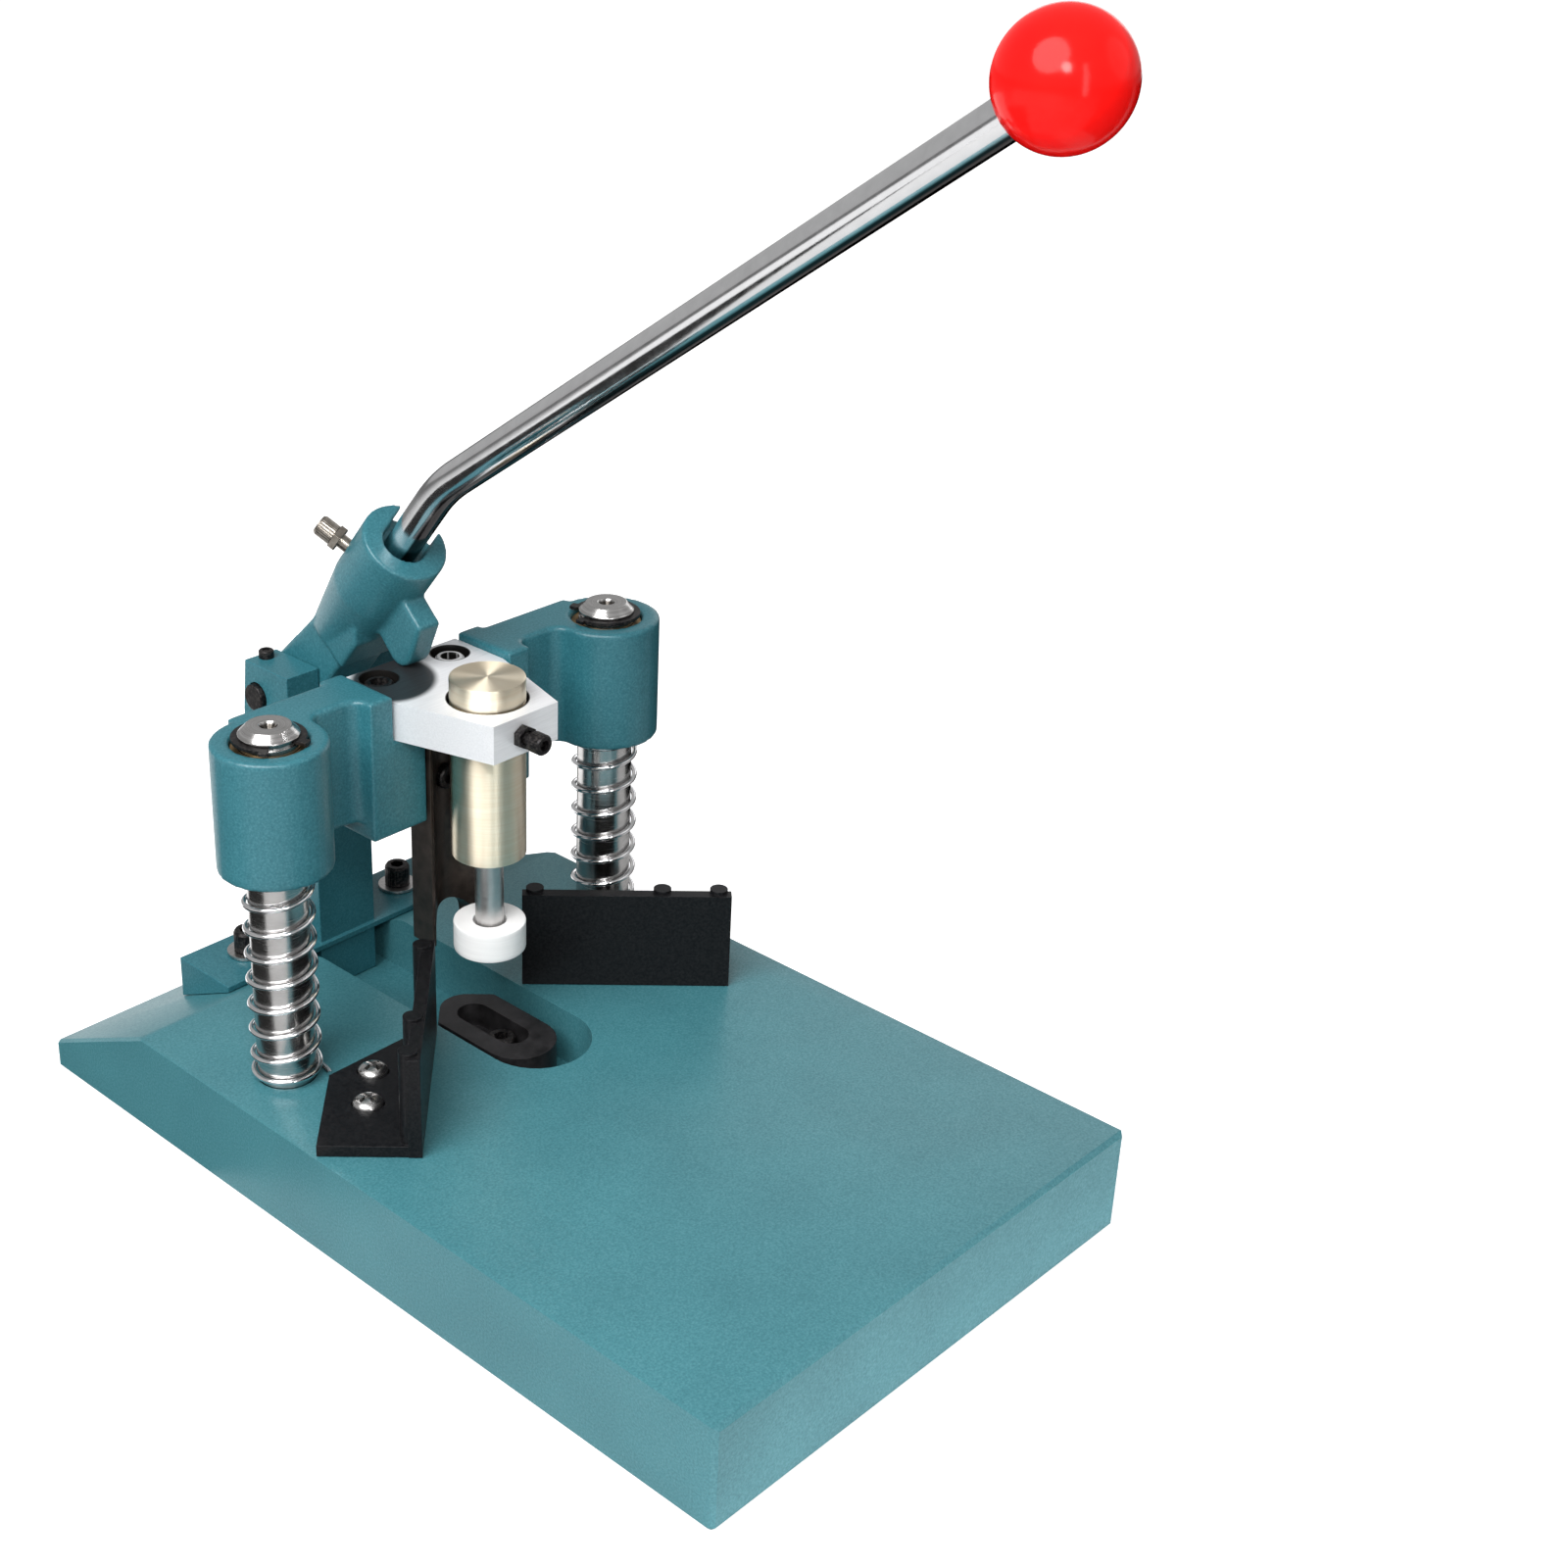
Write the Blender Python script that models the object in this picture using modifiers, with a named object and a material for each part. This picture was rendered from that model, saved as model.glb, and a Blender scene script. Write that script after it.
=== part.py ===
"""A bench corner rounder: cast base, two sprung posts, a pressing head with a
shear blade, and a bent lever whose nose pushes the head down.

Metres, +Z up. The user stands on the -Y side. Places are measured from the line
between the two posts (y = 0) and the underside of the base (z = 0); POST_LINE_Y
then moves them all, so that the origin is under the middle of the machine.
"""
import math

import bmesh
import bpy
from mathutils import Matrix, Vector

# Clearances and construction values
GAP = 0.0003
OVERRUN = 0.002
ROUND_SIDES = 36
SMALL_SIDES = 20
WELD = 0.00001

# Base casting
BASE_WIDTH = 0.200
BASE_FRONT_Y = -0.2182
TABLE_REAR_Y = 0.0525
BASE_REAR_Y = 0.1088
TABLE_HEIGHT = 0.0379
REAR_EDGE_HEIGHT = 0.0109
BASE_EDGE_RADIUS = 0.0015
BEVEL_ANGLE = math.radians(15)
BASE_WALL = 0.008
TABLE_PLATE = 0.010
SPINE_HALF_WIDTH = 0.028
FRONT_BAY_REAR_Y = -0.072
SIDE_BAY_REAR_Y = 0.045
POST_PAD_RADIUS = 0.0175

# Channel in the table, in which the die stands and the blade drops
CHANNEL_HALF_WIDTH = 0.0195
CHANNEL_END_Y = -0.043
CHANNEL_FLOOR = 0.0165

# Posts, their rings and springs
POST_HALF_SPAN = 0.0757
POST_RADIUS = 0.010
POST_SEAT_Z = 0.006
POST_CHAMFER = 0.0022
POST_END_LENGTH = 0.0032
CENTRE_HOLE_RADIUS = 0.0016
CENTRE_HOLE_DEPTH = 0.003
RING_GROOVE_DEPTH = 0.0011
RING_THICKNESS = 0.0013
RING_WIDTH = 0.0030
RING_EAR = 0.0018
RING_MOUTH_ANGLE = math.radians(28)
RING_EAR_ANGLE = math.radians(14)
RING_TURNS = {-1: math.radians(-100), 1: math.radians(145)}
SPRING_WIRE_RADIUS = 0.0009
SPRING_MEAN_RADIUS = 0.0119
SPRING_TURNS = 9.5
SPRING_POINTS_PER_TURN = 10
SPRING_END_PITCH = 0.0025

# Head casting
HEAD_TOP = 0.163
BOSS_RADIUS = 0.0192
BOSS_HEIGHT = 0.045
BUSHING_WALL = 0.0022
HEAD_HALF_WIDTH = 0.036
HEAD_FRONT_Y = -0.002
HEAD_REAR_Y = 0.025
HEAD_HEIGHT = 0.051
ARM_FRONT_Y = 0.005
ARM_REAR_Y = 0.022
HEAD_FILLET = 0.005

# Die and blade, which share the rounded corner
CORNER_RADIUS = 0.010
CORNER_VERTEX_Y = 0.0075
SHEAR_GAP = 0.0003
DIE_HALF_WIDTH = 0.0135
DIE_END_Y = -0.0338
DIE_DROP = 0.0045
DIE_SLOT_RADIUS = 0.006
DIE_SLOT_FRONT_Y = -0.0305
DIE_SLOT_REAR_Y = -0.0105
DIE_SLOT_DEPTH = 0.0094
DIE_SCREW_Y = -0.025
DIE_SCREW_RADIUS = 0.003
DIE_SCREW_HEAD_RADIUS = 0.005
DIE_SCREW_HEAD = 0.006
DIE_SCREW_LENGTH = 0.018
BLADE_HALF_WIDTH = 0.0118
BLADE_FRONT_Y = -0.003
BLADE_REAR_Y = 0.0078
BLADE_TIP_Z = 0.062
BLADE_ARCH_RADIUS = 0.0098
BLADE_ARCH_RISE = 0.0028
BLADE_SCREW_LOW_Z = 0.1235
BLADE_SCREW_PITCH = 0.014
BLADE_SCREW_RADIUS = 0.0025
BLADE_SCREW_HEAD_RADIUS = 0.00425
BLADE_SCREW_HEAD = 0.005
BLADE_SCREW_SEAT_Y = 0.0055
BLADE_SCREW_GRIP = 0.006

# Clamp block on the head, which holds the presser sleeve
BLOCK_THICKNESS = 0.0138
BLOCK_RECESS = 0.0027
BLOCK_HALF_WIDTH = 0.026
BLOCK_REAR_Y = 0.0258
BLOCK_TAPER_Y = 0.001
BLOCK_NOSE_HALF_WIDTH = 0.0145
BLOCK_FRONT_Y = -0.038
BLOCK_BORE_PLAY = 0.0009
BLOCK_SCREW_X = 0.0160
BLOCK_SCREW_Y = 0.0174
BLOCK_SCREW_WELL = 0.0069
BLOCK_SCREW_RADIUS = 0.0025
BLOCK_SCREW_HEAD_RADIUS = 0.0051
BLOCK_SCREW_HEAD = 0.005
BLOCK_SCREW_SINK = 0.0012
BLOCK_SCREW_LENGTH = 0.020
SLEEVE_SCREW_RADIUS = 0.0022
SLEEVE_SCREW_HEAD_RADIUS = 0.0036
SLEEVE_SCREW_HEAD = 0.005
SLEEVE_SCREW_STANDOUT = 0.0062
SLEEVE_NUT_RADIUS = 0.0042
SLEEVE_NUT = 0.0030
SLEEVE_SCREW_X = -0.0022

# Presser: brass sleeve, sprung rod and foot
PRESSER_Y = -0.0194
SLEEVE_RADIUS = 0.0129
SLEEVE_BOTTOM_Z = 0.1026
SLEEVE_STANDOUT = 0.0077
SLEEVE_NECK = 0.0155
CHAMBER_RADIUS = 0.0094
CAP_SPIGOT = 0.006
ROD_RADIUS = 0.005
ROD_COLLAR = 0.003
ROD_TAIL = 0.013
FOOT_RADIUS = 0.0127
FOOT_HEIGHT = 0.0106
FOOT_BOTTOM_Z = 0.0652
FOOT_FLOOR = 0.003
FOOT_POCKET_RADIUS = 0.0068
FOOT_POCKET_DEPTH = 0.0035
PRESSER_WIRE_RADIUS = 0.0007
PRESSER_SPRING_RADIUS = 0.0073
PRESSER_SPRING_TURNS = 7
PRESSER_END_PITCH = 0.0022

# Lever, its pivot and the ball
PIVOT_Y = 0.0747
PIVOT_Z = 0.1376
PIN_RADIUS = 0.005
SOCKET_LEAN = math.radians(51)
SOCKET_RADIUS = 0.0153
SOCKET_ROOT_RADIUS = 0.0120
SOCKET_FULL_REACH = 0.060
SOCKET_REACH = 0.086
SOCKET_BORE_START = 0.042
SOCKET_MOUTH_RADIUS = 0.0079
SOCKET_MOUTH_DEPTH = 0.008
SOCKET_SLOT_TURN = math.radians(30)
BODY_START = 0.0326
BODY_DEPTH = 0.0135
BODY_FLAT = 0.014
BODY_FADE = 0.030
LUG_RADIUS = 0.012
LUG_NECK = 0.0075
LUG_HALF_WIDTH = 0.0104
NOSE_RADIUS = 0.006
NOSE_HALF_WIDTH = 0.0048
NOSE_CONTACT_Y = 0.020
NOSE_BROW = 0.0112
NOSE_BROW_HEIGHT = 0.0107
NOSE_CROWN = 0.0036
NOSE_CROWN_HEIGHT = 0.0180
NOSE_ROOT = 0.0140
NOSE_ROOT_HEIGHT = 0.0060
NOSE_STEPS = 8
LEVER_ROD_RADIUS = 0.006
BEND_REACH = 0.117
BEND_RADIUS = 0.065
BEND_STEPS = 8
ARM_LEAN = math.radians(35)
ARM_LENGTH = 0.271
BALL_RADIUS = 0.0175
BALL_SOCKET_DEPTH = 0.014
CLAMP_BOLT_REACH = 0.067
CLAMP_BOLT_TURN = math.radians(25)
CLAMP_BOLT_RADIUS = 0.0025
CLAMP_NUT_RADIUS = 0.0049
CLAMP_NUT = 0.0024
CLAMP_NECK = 0.0032
CLAMP_HEAD_RADIUS = 0.0037
CLAMP_HEAD = 0.0065

# Pedestal behind the head, with the two cheeks that hold the pin
COLUMN_HALF_WIDTH = 0.013
COLUMN_FRONT_Y = 0.060
COLUMN_REAR_Y = 0.090
CHEEK_INNER = 0.0109
CHEEK_OUTER = 0.025
CHEEK_FRONT_Y = 0.057
CHEEK_REAR_Y = 0.0830
CHEEK_TOP_REAR_Y = 0.0808
CHEEK_TOP = 0.150
CHEEK_SHOULDER_Z = 0.1300
YOKE_TOP = 0.118
YOKE_BOTTOM = 0.098
PEDESTAL_FOOT_HALF_WIDTH = 0.057
PEDESTAL_FOOT_FRONT_Y = 0.0585
PEDESTAL_FOOT_REAR_Y = 0.088
PEDESTAL_FOOT_DROP = 0.0004
FOOT_SCREW_X = 0.0365
FOOT_SCREW_Y = 0.074
FOOT_SCREW_RADIUS = 0.003
FOOT_SCREW_HEAD_RADIUS = 0.0048
FOOT_SCREW_HEAD = 0.008
FOOT_SCREW_LENGTH = 0.024
WASHER_RADIUS = 0.0075
WASHER_THICKNESS = 0.0012
LOCK_SCREW_X = 0.018
LOCK_SCREW_Y = 0.0774
LOCK_SCREW_RADIUS = 0.0018
LOCK_SCREW_HEAD_RADIUS = 0.0027
LOCK_SCREW_HEAD = 0.0026
LOCK_SCREW_LENGTH = 0.006

# Paper fences on the table, at 45 degrees to the corner
FENCE_VERTEX_Y = 0.0063
FENCE_STARTS = {-1: 0.0319, 1: 0.0289}
FENCE_LENGTH = 0.0748
FENCE_HEIGHT = 0.0368
FENCE_PLATE = 0.0045
FENCE_FLANGE = 0.004
FENCE_DEPTH = 0.034
FENCE_RIB_RADIUS = 0.0032
FENCE_RIB_RISE = 0.0012
FENCE_RIB_shares = (0.06, 0.67, 0.94)
FENCE_SCREW_SETBACK = 0.0195
FENCE_SCREW_REAR = 0.0315
FENCE_SCREW_PITCH = 0.019
FENCE_TRAVEL = 0.003
FENCE_SCREW_RADIUS = 0.002
FENCE_SCREW_HEAD_RADIUS = 0.0046
FENCE_SCREW_HEAD = 0.0028
FENCE_SCREW_GRIP = 0.0065
CROSS_WIDTH = 0.0011
CROSS_LENGTH = 0.0052
CROSS_DEPTH = 0.0014

# Sizes worked out from the ones above
BOSS_BOTTOM = HEAD_TOP - BOSS_HEIGHT
HEAD_BOTTOM = HEAD_TOP - HEAD_HEIGHT
DIE_TOP = TABLE_HEIGHT - DIE_DROP
PEDESTAL_FOOT_TOP = TABLE_HEIGHT - PEDESTAL_FOOT_DROP
BLOCK_TOP = HEAD_TOP - BLOCK_RECESS
BLOCK_BOTTOM = BLOCK_TOP - BLOCK_THICKNESS
SLEEVE_TOP = BLOCK_TOP + SLEEVE_STANDOUT
CAP_SEAT = BLOCK_TOP - GAP
COLLAR_BOTTOM = SLEEVE_BOTTOM_Z + SLEEVE_NECK + GAP
COLLAR_TOP = COLLAR_BOTTOM + ROD_COLLAR
RING_BOTTOM = HEAD_TOP + GAP
GROOVE_BOTTOM = HEAD_TOP
GROOVE_TOP = RING_BOTTOM + RING_THICKNESS + GAP
POST_TOP = GROOVE_TOP + POST_END_LENGTH
BUSHING_RADIUS = POST_RADIUS + GAP + BUSHING_WALL
SLOPE = (TABLE_HEIGHT - REAR_EDGE_HEIGHT) / (BASE_REAR_Y - TABLE_REAR_Y)
SOCKET_AXIS = Vector((0, -math.cos(SOCKET_LEAN), math.sin(SOCKET_LEAN)))
ARM_AXIS = Vector((0, -math.cos(ARM_LEAN), math.sin(ARM_LEAN)))
PIVOT = Vector((0, PIVOT_Y, PIVOT_Z))
BEND_POINT = PIVOT + SOCKET_AXIS * BEND_REACH
BALL_CENTRE = BEND_POINT + ARM_AXIS * ARM_LENGTH
POST_LINE_Y = -(BASE_REAR_Y + BALL_CENTRE.y - BALL_RADIUS) / 2
NOSE_CENTRE = Vector((0, NOSE_CONTACT_Y, BLOCK_TOP + GAP + NOSE_RADIUS))
HEX_share = 0.5


def place(x, y, z):
    """A point measured from the posts' line, in the part's own frame."""
    return Vector((x, y + POST_LINE_Y, z))


def clear_scene():
    for item in list(bpy.data.objects):
        bpy.data.objects.remove(item, do_unlink=True)


def new_collection(name):
    group = bpy.data.collections.new(name)
    bpy.context.scene.collection.children.link(group)
    return group


clear_scene()
PARTS = new_collection("corner_rounder")
CUTTERS = new_collection("cutters")


def paint(name, colour, roughness, metallic):
    material = bpy.data.materials.new(name)
    material.use_nodes = True
    shader = material.node_tree.nodes["Principled BSDF"]
    shader.inputs["Base Color"].default_value = (*colour, 1)
    shader.inputs["Roughness"].default_value = roughness
    shader.inputs["Metallic"].default_value = metallic
    material.diffuse_color = (*colour, 1)
    return material


TEAL = ("hammered teal paint", (0.08, 0.27, 0.32), 0.42, 0.0)
STEEL = ("bright steel", (0.62, 0.62, 0.62), 0.22, 1.0)
CHROME = ("chrome", (0.75, 0.75, 0.76), 0.08, 1.0)
BLACK_STEEL = ("blackened steel", (0.02, 0.02, 0.022), 0.45, 0.6)
BLADE_STEEL = ("oiled blade steel", (0.06, 0.045, 0.04), 0.38, 0.7)
DIE_STEEL = ("die steel", (0.075, 0.072, 0.075), 0.5, 0.5)
BRASS = ("turned brass", (0.62, 0.47, 0.24), 0.28, 1.0)
BRONZE = ("bronze", (0.42, 0.27, 0.12), 0.4, 1.0)
ALUMINIUM = ("brushed aluminium", (0.80, 0.81, 0.83), 0.3, 1.0)
WHITE_PLASTIC = ("white plastic", (0.83, 0.82, 0.83), 0.45, 0.0)
RED_PLASTIC = ("red gloss plastic", (0.85, 0.01, 0.02), 0.12, 0.0)
BLACK_PLASTIC = ("black plastic", (0.015, 0.015, 0.017), 0.5, 0.0)


def finish(item, name, look):
    """Names a piece, puts it with the parts and gives it its own material."""
    item.name = name
    item.data.name = name
    for group in list(item.users_collection):
        group.objects.unlink(item)
    PARTS.objects.link(item)
    item.data.materials.clear()
    item.data.materials.append(paint(name + " " + look[0], look[1], look[2], look[3]))
    item.data.shade_smooth()
    item.data.set_sharp_from_angle(angle=math.radians(35))
    return item


def object_from(bm, name):
    mesh = bpy.data.meshes.new(name)
    bmesh.ops.recalc_face_normals(bm, faces=bm.faces)
    bm.to_mesh(mesh)
    bm.free()
    item = bpy.data.objects.new(name, mesh)
    CUTTERS.objects.link(item)
    return item


def box(x_range, y_range, z_range):
    """A block between three pairs of limits, measured from the posts' line."""
    sides = [pair[1] - pair[0] for pair in (x_range, y_range, z_range)]
    middle = [(pair[0] + pair[1]) / 2 for pair in (x_range, y_range, z_range)]
    bm = bmesh.new()
    bmesh.ops.create_cube(bm, size=1)
    bmesh.ops.scale(bm, vec=Vector(sides), verts=bm.verts)
    item = object_from(bm, "box")
    item.location = place(*middle)
    return item


def cylinder(start, end, radius, sides=SMALL_SIDES, end_radius=None):
    """A round bar between two points, measured from the posts' line."""
    along = Vector(end) - Vector(start)
    far = radius if end_radius is None else end_radius
    bm = bmesh.new()
    bmesh.ops.create_cone(bm, cap_ends=True, segments=sides, radius1=radius, radius2=far,
                          depth=along.length)
    item = object_from(bm, "cylinder")
    item.rotation_mode = "QUATERNION"
    item.rotation_quaternion = along.to_track_quat("Z", "Y")
    item.location = place(*((Vector(start) + Vector(end)) / 2))
    return item


def as_mesh(item):
    """Turns a curve object into a closed mesh in the same place."""
    bpy.context.view_layer.update()
    graph = bpy.context.evaluated_depsgraph_get()
    mesh = bpy.data.meshes.new_from_object(item.evaluated_get(graph))
    bm = bmesh.new()
    bm.from_mesh(mesh)
    bmesh.ops.remove_doubles(bm, verts=bm.verts, dist=WELD)
    solid = object_from(bm, item.name)
    solid.matrix_world = item.matrix_world.copy()
    bpy.data.objects.remove(item, do_unlink=True)
    bpy.data.meshes.remove(mesh)
    return solid


AXIS_FRAMES = {
    "X": Matrix(((0, 0, 1), (1, 0, 0), (0, 1, 0))),
    "Y": Matrix(((0, 1, 0), (0, 0, 1), (1, 0, 0))),
    "Z": Matrix.Identity(3),
}


def plate(outline, limits, axis):
    """A flat outline extruded along an axis. Outlines are (y, z) along X, (z, x) along Y
    and (x, y) along Z, measured from the posts' line."""
    curve = bpy.data.curves.new("plate", "CURVE")
    curve.dimensions = "2D"
    curve.fill_mode = "BOTH"
    curve.extrude = (limits[1] - limits[0]) / 2
    spline = curve.splines.new("POLY")
    spline.points.add(len(outline) - 1)
    for point, (u, v) in zip(spline.points, outline):
        point.co = (u, v, 0, 1)
    spline.use_cyclic_u = True
    item = bpy.data.objects.new("plate", curve)
    CUTTERS.objects.link(item)
    frame = AXIS_FRAMES[axis]
    middle = frame @ Vector((0, 0, (limits[0] + limits[1]) / 2))
    item.matrix_world = Matrix.Translation(place(*middle)) @ frame.to_4x4()
    return as_mesh(item)


def arc(centre, radius, start, end, steps):
    """Points on an arc from one angle to another, both ends included."""
    points = []
    for step in range(steps + 1):
        angle = start + (end - start) * step / steps
        points.append((centre[0] + radius * math.cos(angle), centre[1] + radius * math.sin(angle)))
    return points


def turned(profile, centre, sides=ROUND_SIDES):
    """A turned piece on a vertical axis: a profile of (radius, height), top to bottom."""
    mesh = bpy.data.meshes.new("turned")
    points = [(radius, 0, height) for radius, height in profile]
    edges = [(index, index + 1) for index in range(len(points) - 1)]
    mesh.from_pydata(points, edges, [])
    item = bpy.data.objects.new("turned", mesh)
    CUTTERS.objects.link(item)
    item.location = place(centre[0], centre[1], 0)
    screw = item.modifiers.new("turn", "SCREW")
    screw.axis = "Z"
    screw.steps = sides
    screw.render_steps = sides
    screw.use_merge_vertices = True
    screw.merge_threshold = WELD
    return as_mesh(item)


def tube(points, radius, resolution):
    """A round wire or bar through points measured from the posts' line."""
    curve = bpy.data.curves.new("tube", "CURVE")
    curve.dimensions = "3D"
    curve.bevel_depth = radius
    curve.bevel_resolution = resolution
    curve.use_fill_caps = True
    spline = curve.splines.new("POLY")
    spline.points.add(len(points) - 1)
    for target, point in zip(spline.points, points):
        target.co = (*place(*point), 1)
    item = bpy.data.objects.new("tube", curve)
    CUTTERS.objects.link(item)
    return as_mesh(item)


def combine(target, tool, operation):
    """Keeps the tool as a hidden shape that cuts or joins the target."""
    tool.hide_render = True
    tool.display_type = "WIRE"
    step = target.modifiers.new(operation.lower(), "BOOLEAN")
    step.operation = operation
    step.object = tool
    return target


def cut(target, tool):
    return combine(target, tool, "DIFFERENCE")


def join(target, tool):
    return combine(target, tool, "UNION")


def oblong(centre_x, low_y, high_y, radius):
    """A slot with round ends that runs along Y."""
    half_turn = math.pi
    front = arc((centre_x, low_y), radius, half_turn, 2 * half_turn, ROUND_SIDES // 2)
    rear = arc((centre_x, high_y), radius, 0, half_turn, ROUND_SIDES // 2)
    return front + rear


def slope_height(y):
    """Height of the base's sloping rear deck."""
    return TABLE_HEIGHT - SLOPE * (y - TABLE_REAR_Y)


def corner_outline(offset, half_width, far_y):
    """The V with its rounded corner, moved forward by an offset, closed at far_y."""
    radius = CORNER_RADIUS
    centre_y = CORNER_VERTEX_Y - math.sqrt(2) * radius
    quarter = math.pi / 4
    rounded = arc((0, centre_y), radius - offset, quarter, 3 * quarter, ROUND_SIDES // 4)
    flank_y = CORNER_VERTEX_Y - math.sqrt(2) * offset - half_width
    return [(half_width, far_y), (half_width, flank_y)] + rounded + [(-half_width, flank_y), (-half_width, far_y)]


def base_casting():
    half = BASE_WIDTH / 2
    side = [(BASE_FRONT_Y, 0), (BASE_REAR_Y, 0), (BASE_REAR_Y, REAR_EDGE_HEIGHT),
            (TABLE_REAR_Y, TABLE_HEIGHT), (BASE_FRONT_Y, TABLE_HEIGHT)]
    base = plate(side, (-half, half), "X")
    rounding = base.modifiers.new("cast edges", "BEVEL")
    rounding.width = BASE_EDGE_RADIUS
    rounding.segments = 1
    rounding.limit_method = "ANGLE"
    rounding.angle_limit = BEVEL_ANGLE
    bay_top = TABLE_HEIGHT - TABLE_PLATE
    inner = half - BASE_WALL
    cut(base, box((-inner, inner), (BASE_FRONT_Y + BASE_WALL, FRONT_BAY_REAR_Y), (-OVERRUN, bay_top)))
    for side_sign in (-1, 1):
        limits = sorted((side_sign * SPINE_HALF_WIDTH, side_sign * inner))
        bay = box(limits, (FRONT_BAY_REAR_Y + BASE_WALL, SIDE_BAY_REAR_Y), (-OVERRUN, bay_top))
        cut(base, bay)
        foot = (side_sign * POST_HALF_SPAN, 0, 0)
        head = (side_sign * POST_HALF_SPAN, 0, bay_top + OVERRUN)
        join(base, cylinder(foot, head, POST_PAD_RADIUS, ROUND_SIDES))
    cut(base, channel())
    for side_sign in (-1, 1):
        x = side_sign * POST_HALF_SPAN
        bore = ((x, 0, POST_SEAT_Z - GAP), (x, 0, TABLE_HEIGHT + OVERRUN))
        cut(base, cylinder(*bore, POST_RADIUS + GAP, ROUND_SIDES))
        x = side_sign * FOOT_SCREW_X
        tip = foot_screw_seat() - FOOT_SCREW_LENGTH - GAP
        cut(base, cylinder((x, FOOT_SCREW_Y, tip), (x, FOOT_SCREW_Y, TABLE_HEIGHT),
                           FOOT_SCREW_RADIUS + GAP))
        for spot in fence_screw_spots(side_sign):
            tip = TABLE_HEIGHT - FENCE_SCREW_GRIP - GAP
            cut(base, cylinder((*spot, tip), (*spot, TABLE_HEIGHT + OVERRUN), FENCE_SCREW_RADIUS + GAP))
    tip = die_screw_seat() - DIE_SCREW_LENGTH - GAP
    cut(base, cylinder((0, DIE_SCREW_Y, tip), (0, DIE_SCREW_Y, TABLE_HEIGHT), DIE_SCREW_RADIUS + GAP))
    finish(base, "base_casting", TEAL)


def channel():
    front = arc((0, CHANNEL_END_Y), CHANNEL_HALF_WIDTH, math.pi, 2 * math.pi, ROUND_SIDES // 2)
    rear = BASE_REAR_Y + OVERRUN
    outline = front + [(CHANNEL_HALF_WIDTH, rear), (-CHANNEL_HALF_WIDTH, rear)]
    return plate(outline, (CHANNEL_FLOOR, TABLE_HEIGHT + OVERRUN), "Z")


def post(name, x):
    groove = POST_RADIUS - RING_GROOVE_DEPTH
    profile = [(0, POST_TOP - CENTRE_HOLE_DEPTH), (CENTRE_HOLE_RADIUS, POST_TOP - CENTRE_HOLE_DEPTH),
               (CENTRE_HOLE_RADIUS, POST_TOP), (POST_RADIUS - POST_CHAMFER, POST_TOP),
               (POST_RADIUS, POST_TOP - POST_CHAMFER), (POST_RADIUS, GROOVE_TOP),
               (groove, GROOVE_TOP), (groove, GROOVE_BOTTOM), (POST_RADIUS, GROOVE_BOTTOM),
               (POST_RADIUS, POST_SEAT_Z), (0, POST_SEAT_Z)]
    finish(turned(profile, (x, 0)), name, STEEL)


def snap_ring(name, x):
    """An open ring with two ears, which stops the head at the top of its post."""
    inner = POST_RADIUS - RING_GROOVE_DEPTH + GAP
    outer = inner + RING_WIDTH
    turn = RING_TURNS[-1 if x < 0 else 1]
    start = RING_MOUTH_ANGLE + turn
    end = 2 * math.pi - RING_MOUTH_ANGLE + turn
    middle = (x, 0)
    ear = outer + RING_EAR
    outline = arc(middle, ear, start, start + RING_EAR_ANGLE, 2)
    outline += arc(middle, outer, start + RING_EAR_ANGLE, end - RING_EAR_ANGLE, ROUND_SIDES)
    outline += arc(middle, ear, end - RING_EAR_ANGLE, end, 2)
    outline += arc(middle, inner, end, start, ROUND_SIDES)
    ring = plate(outline, (RING_BOTTOM, RING_BOTTOM + RING_THICKNESS), "Z")
    finish(ring, name, BLACK_STEEL)


def coil_points(centre, radius, low, high, turns, end_pitch, phase=0.0):
    """Points along a spring with one closed turn at each end."""
    count = round(turns * SPRING_POINTS_PER_TURN)
    pitch = (high - low - 2 * end_pitch) / (turns - 2)
    points = []
    for index in range(count + 1):
        turn = turns * index / count
        closed = min(turn, 1) + max(turn - (turns - 1), 0)
        height = low + end_pitch * closed + pitch * (turn - closed)
        angle = 2 * math.pi * turn + phase
        points.append((centre[0] + radius * math.cos(angle), centre[1] + radius * math.sin(angle), height))
    return points


def report_self_gap(name, points, wire_radius):
    """Prints the least gap between turns, measured on the spring's own points."""
    least = min((Vector(points[i]) - Vector(points[j])).length
                for i in range(len(points))
                for j in range(i + SPRING_POINTS_PER_TURN - 1, len(points)))
    print(name, "least gap between turns, mm:", round((least - 2 * wire_radius) * 1000, 2))


def return_spring(name, x):
    low = TABLE_HEIGHT + GAP + SPRING_WIRE_RADIUS
    high = BOSS_BOTTOM - GAP - SPRING_WIRE_RADIUS
    points = coil_points((x, 0), SPRING_MEAN_RADIUS, low, high, SPRING_TURNS, SPRING_END_PITCH)
    report_self_gap(name, points, SPRING_WIRE_RADIUS)
    finish(tube(points, SPRING_WIRE_RADIUS, 1), name, CHROME)


def bushing(name, x):
    outer = BUSHING_RADIUS
    inner = POST_RADIUS + GAP
    profile = [(inner, HEAD_TOP - GAP), (outer, HEAD_TOP - GAP), (outer, BOSS_BOTTOM + GAP),
               (inner, BOSS_BOTTOM + GAP), (inner, HEAD_TOP - GAP)]
    finish(turned(profile, (x, 0)), name, BRONZE)


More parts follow.
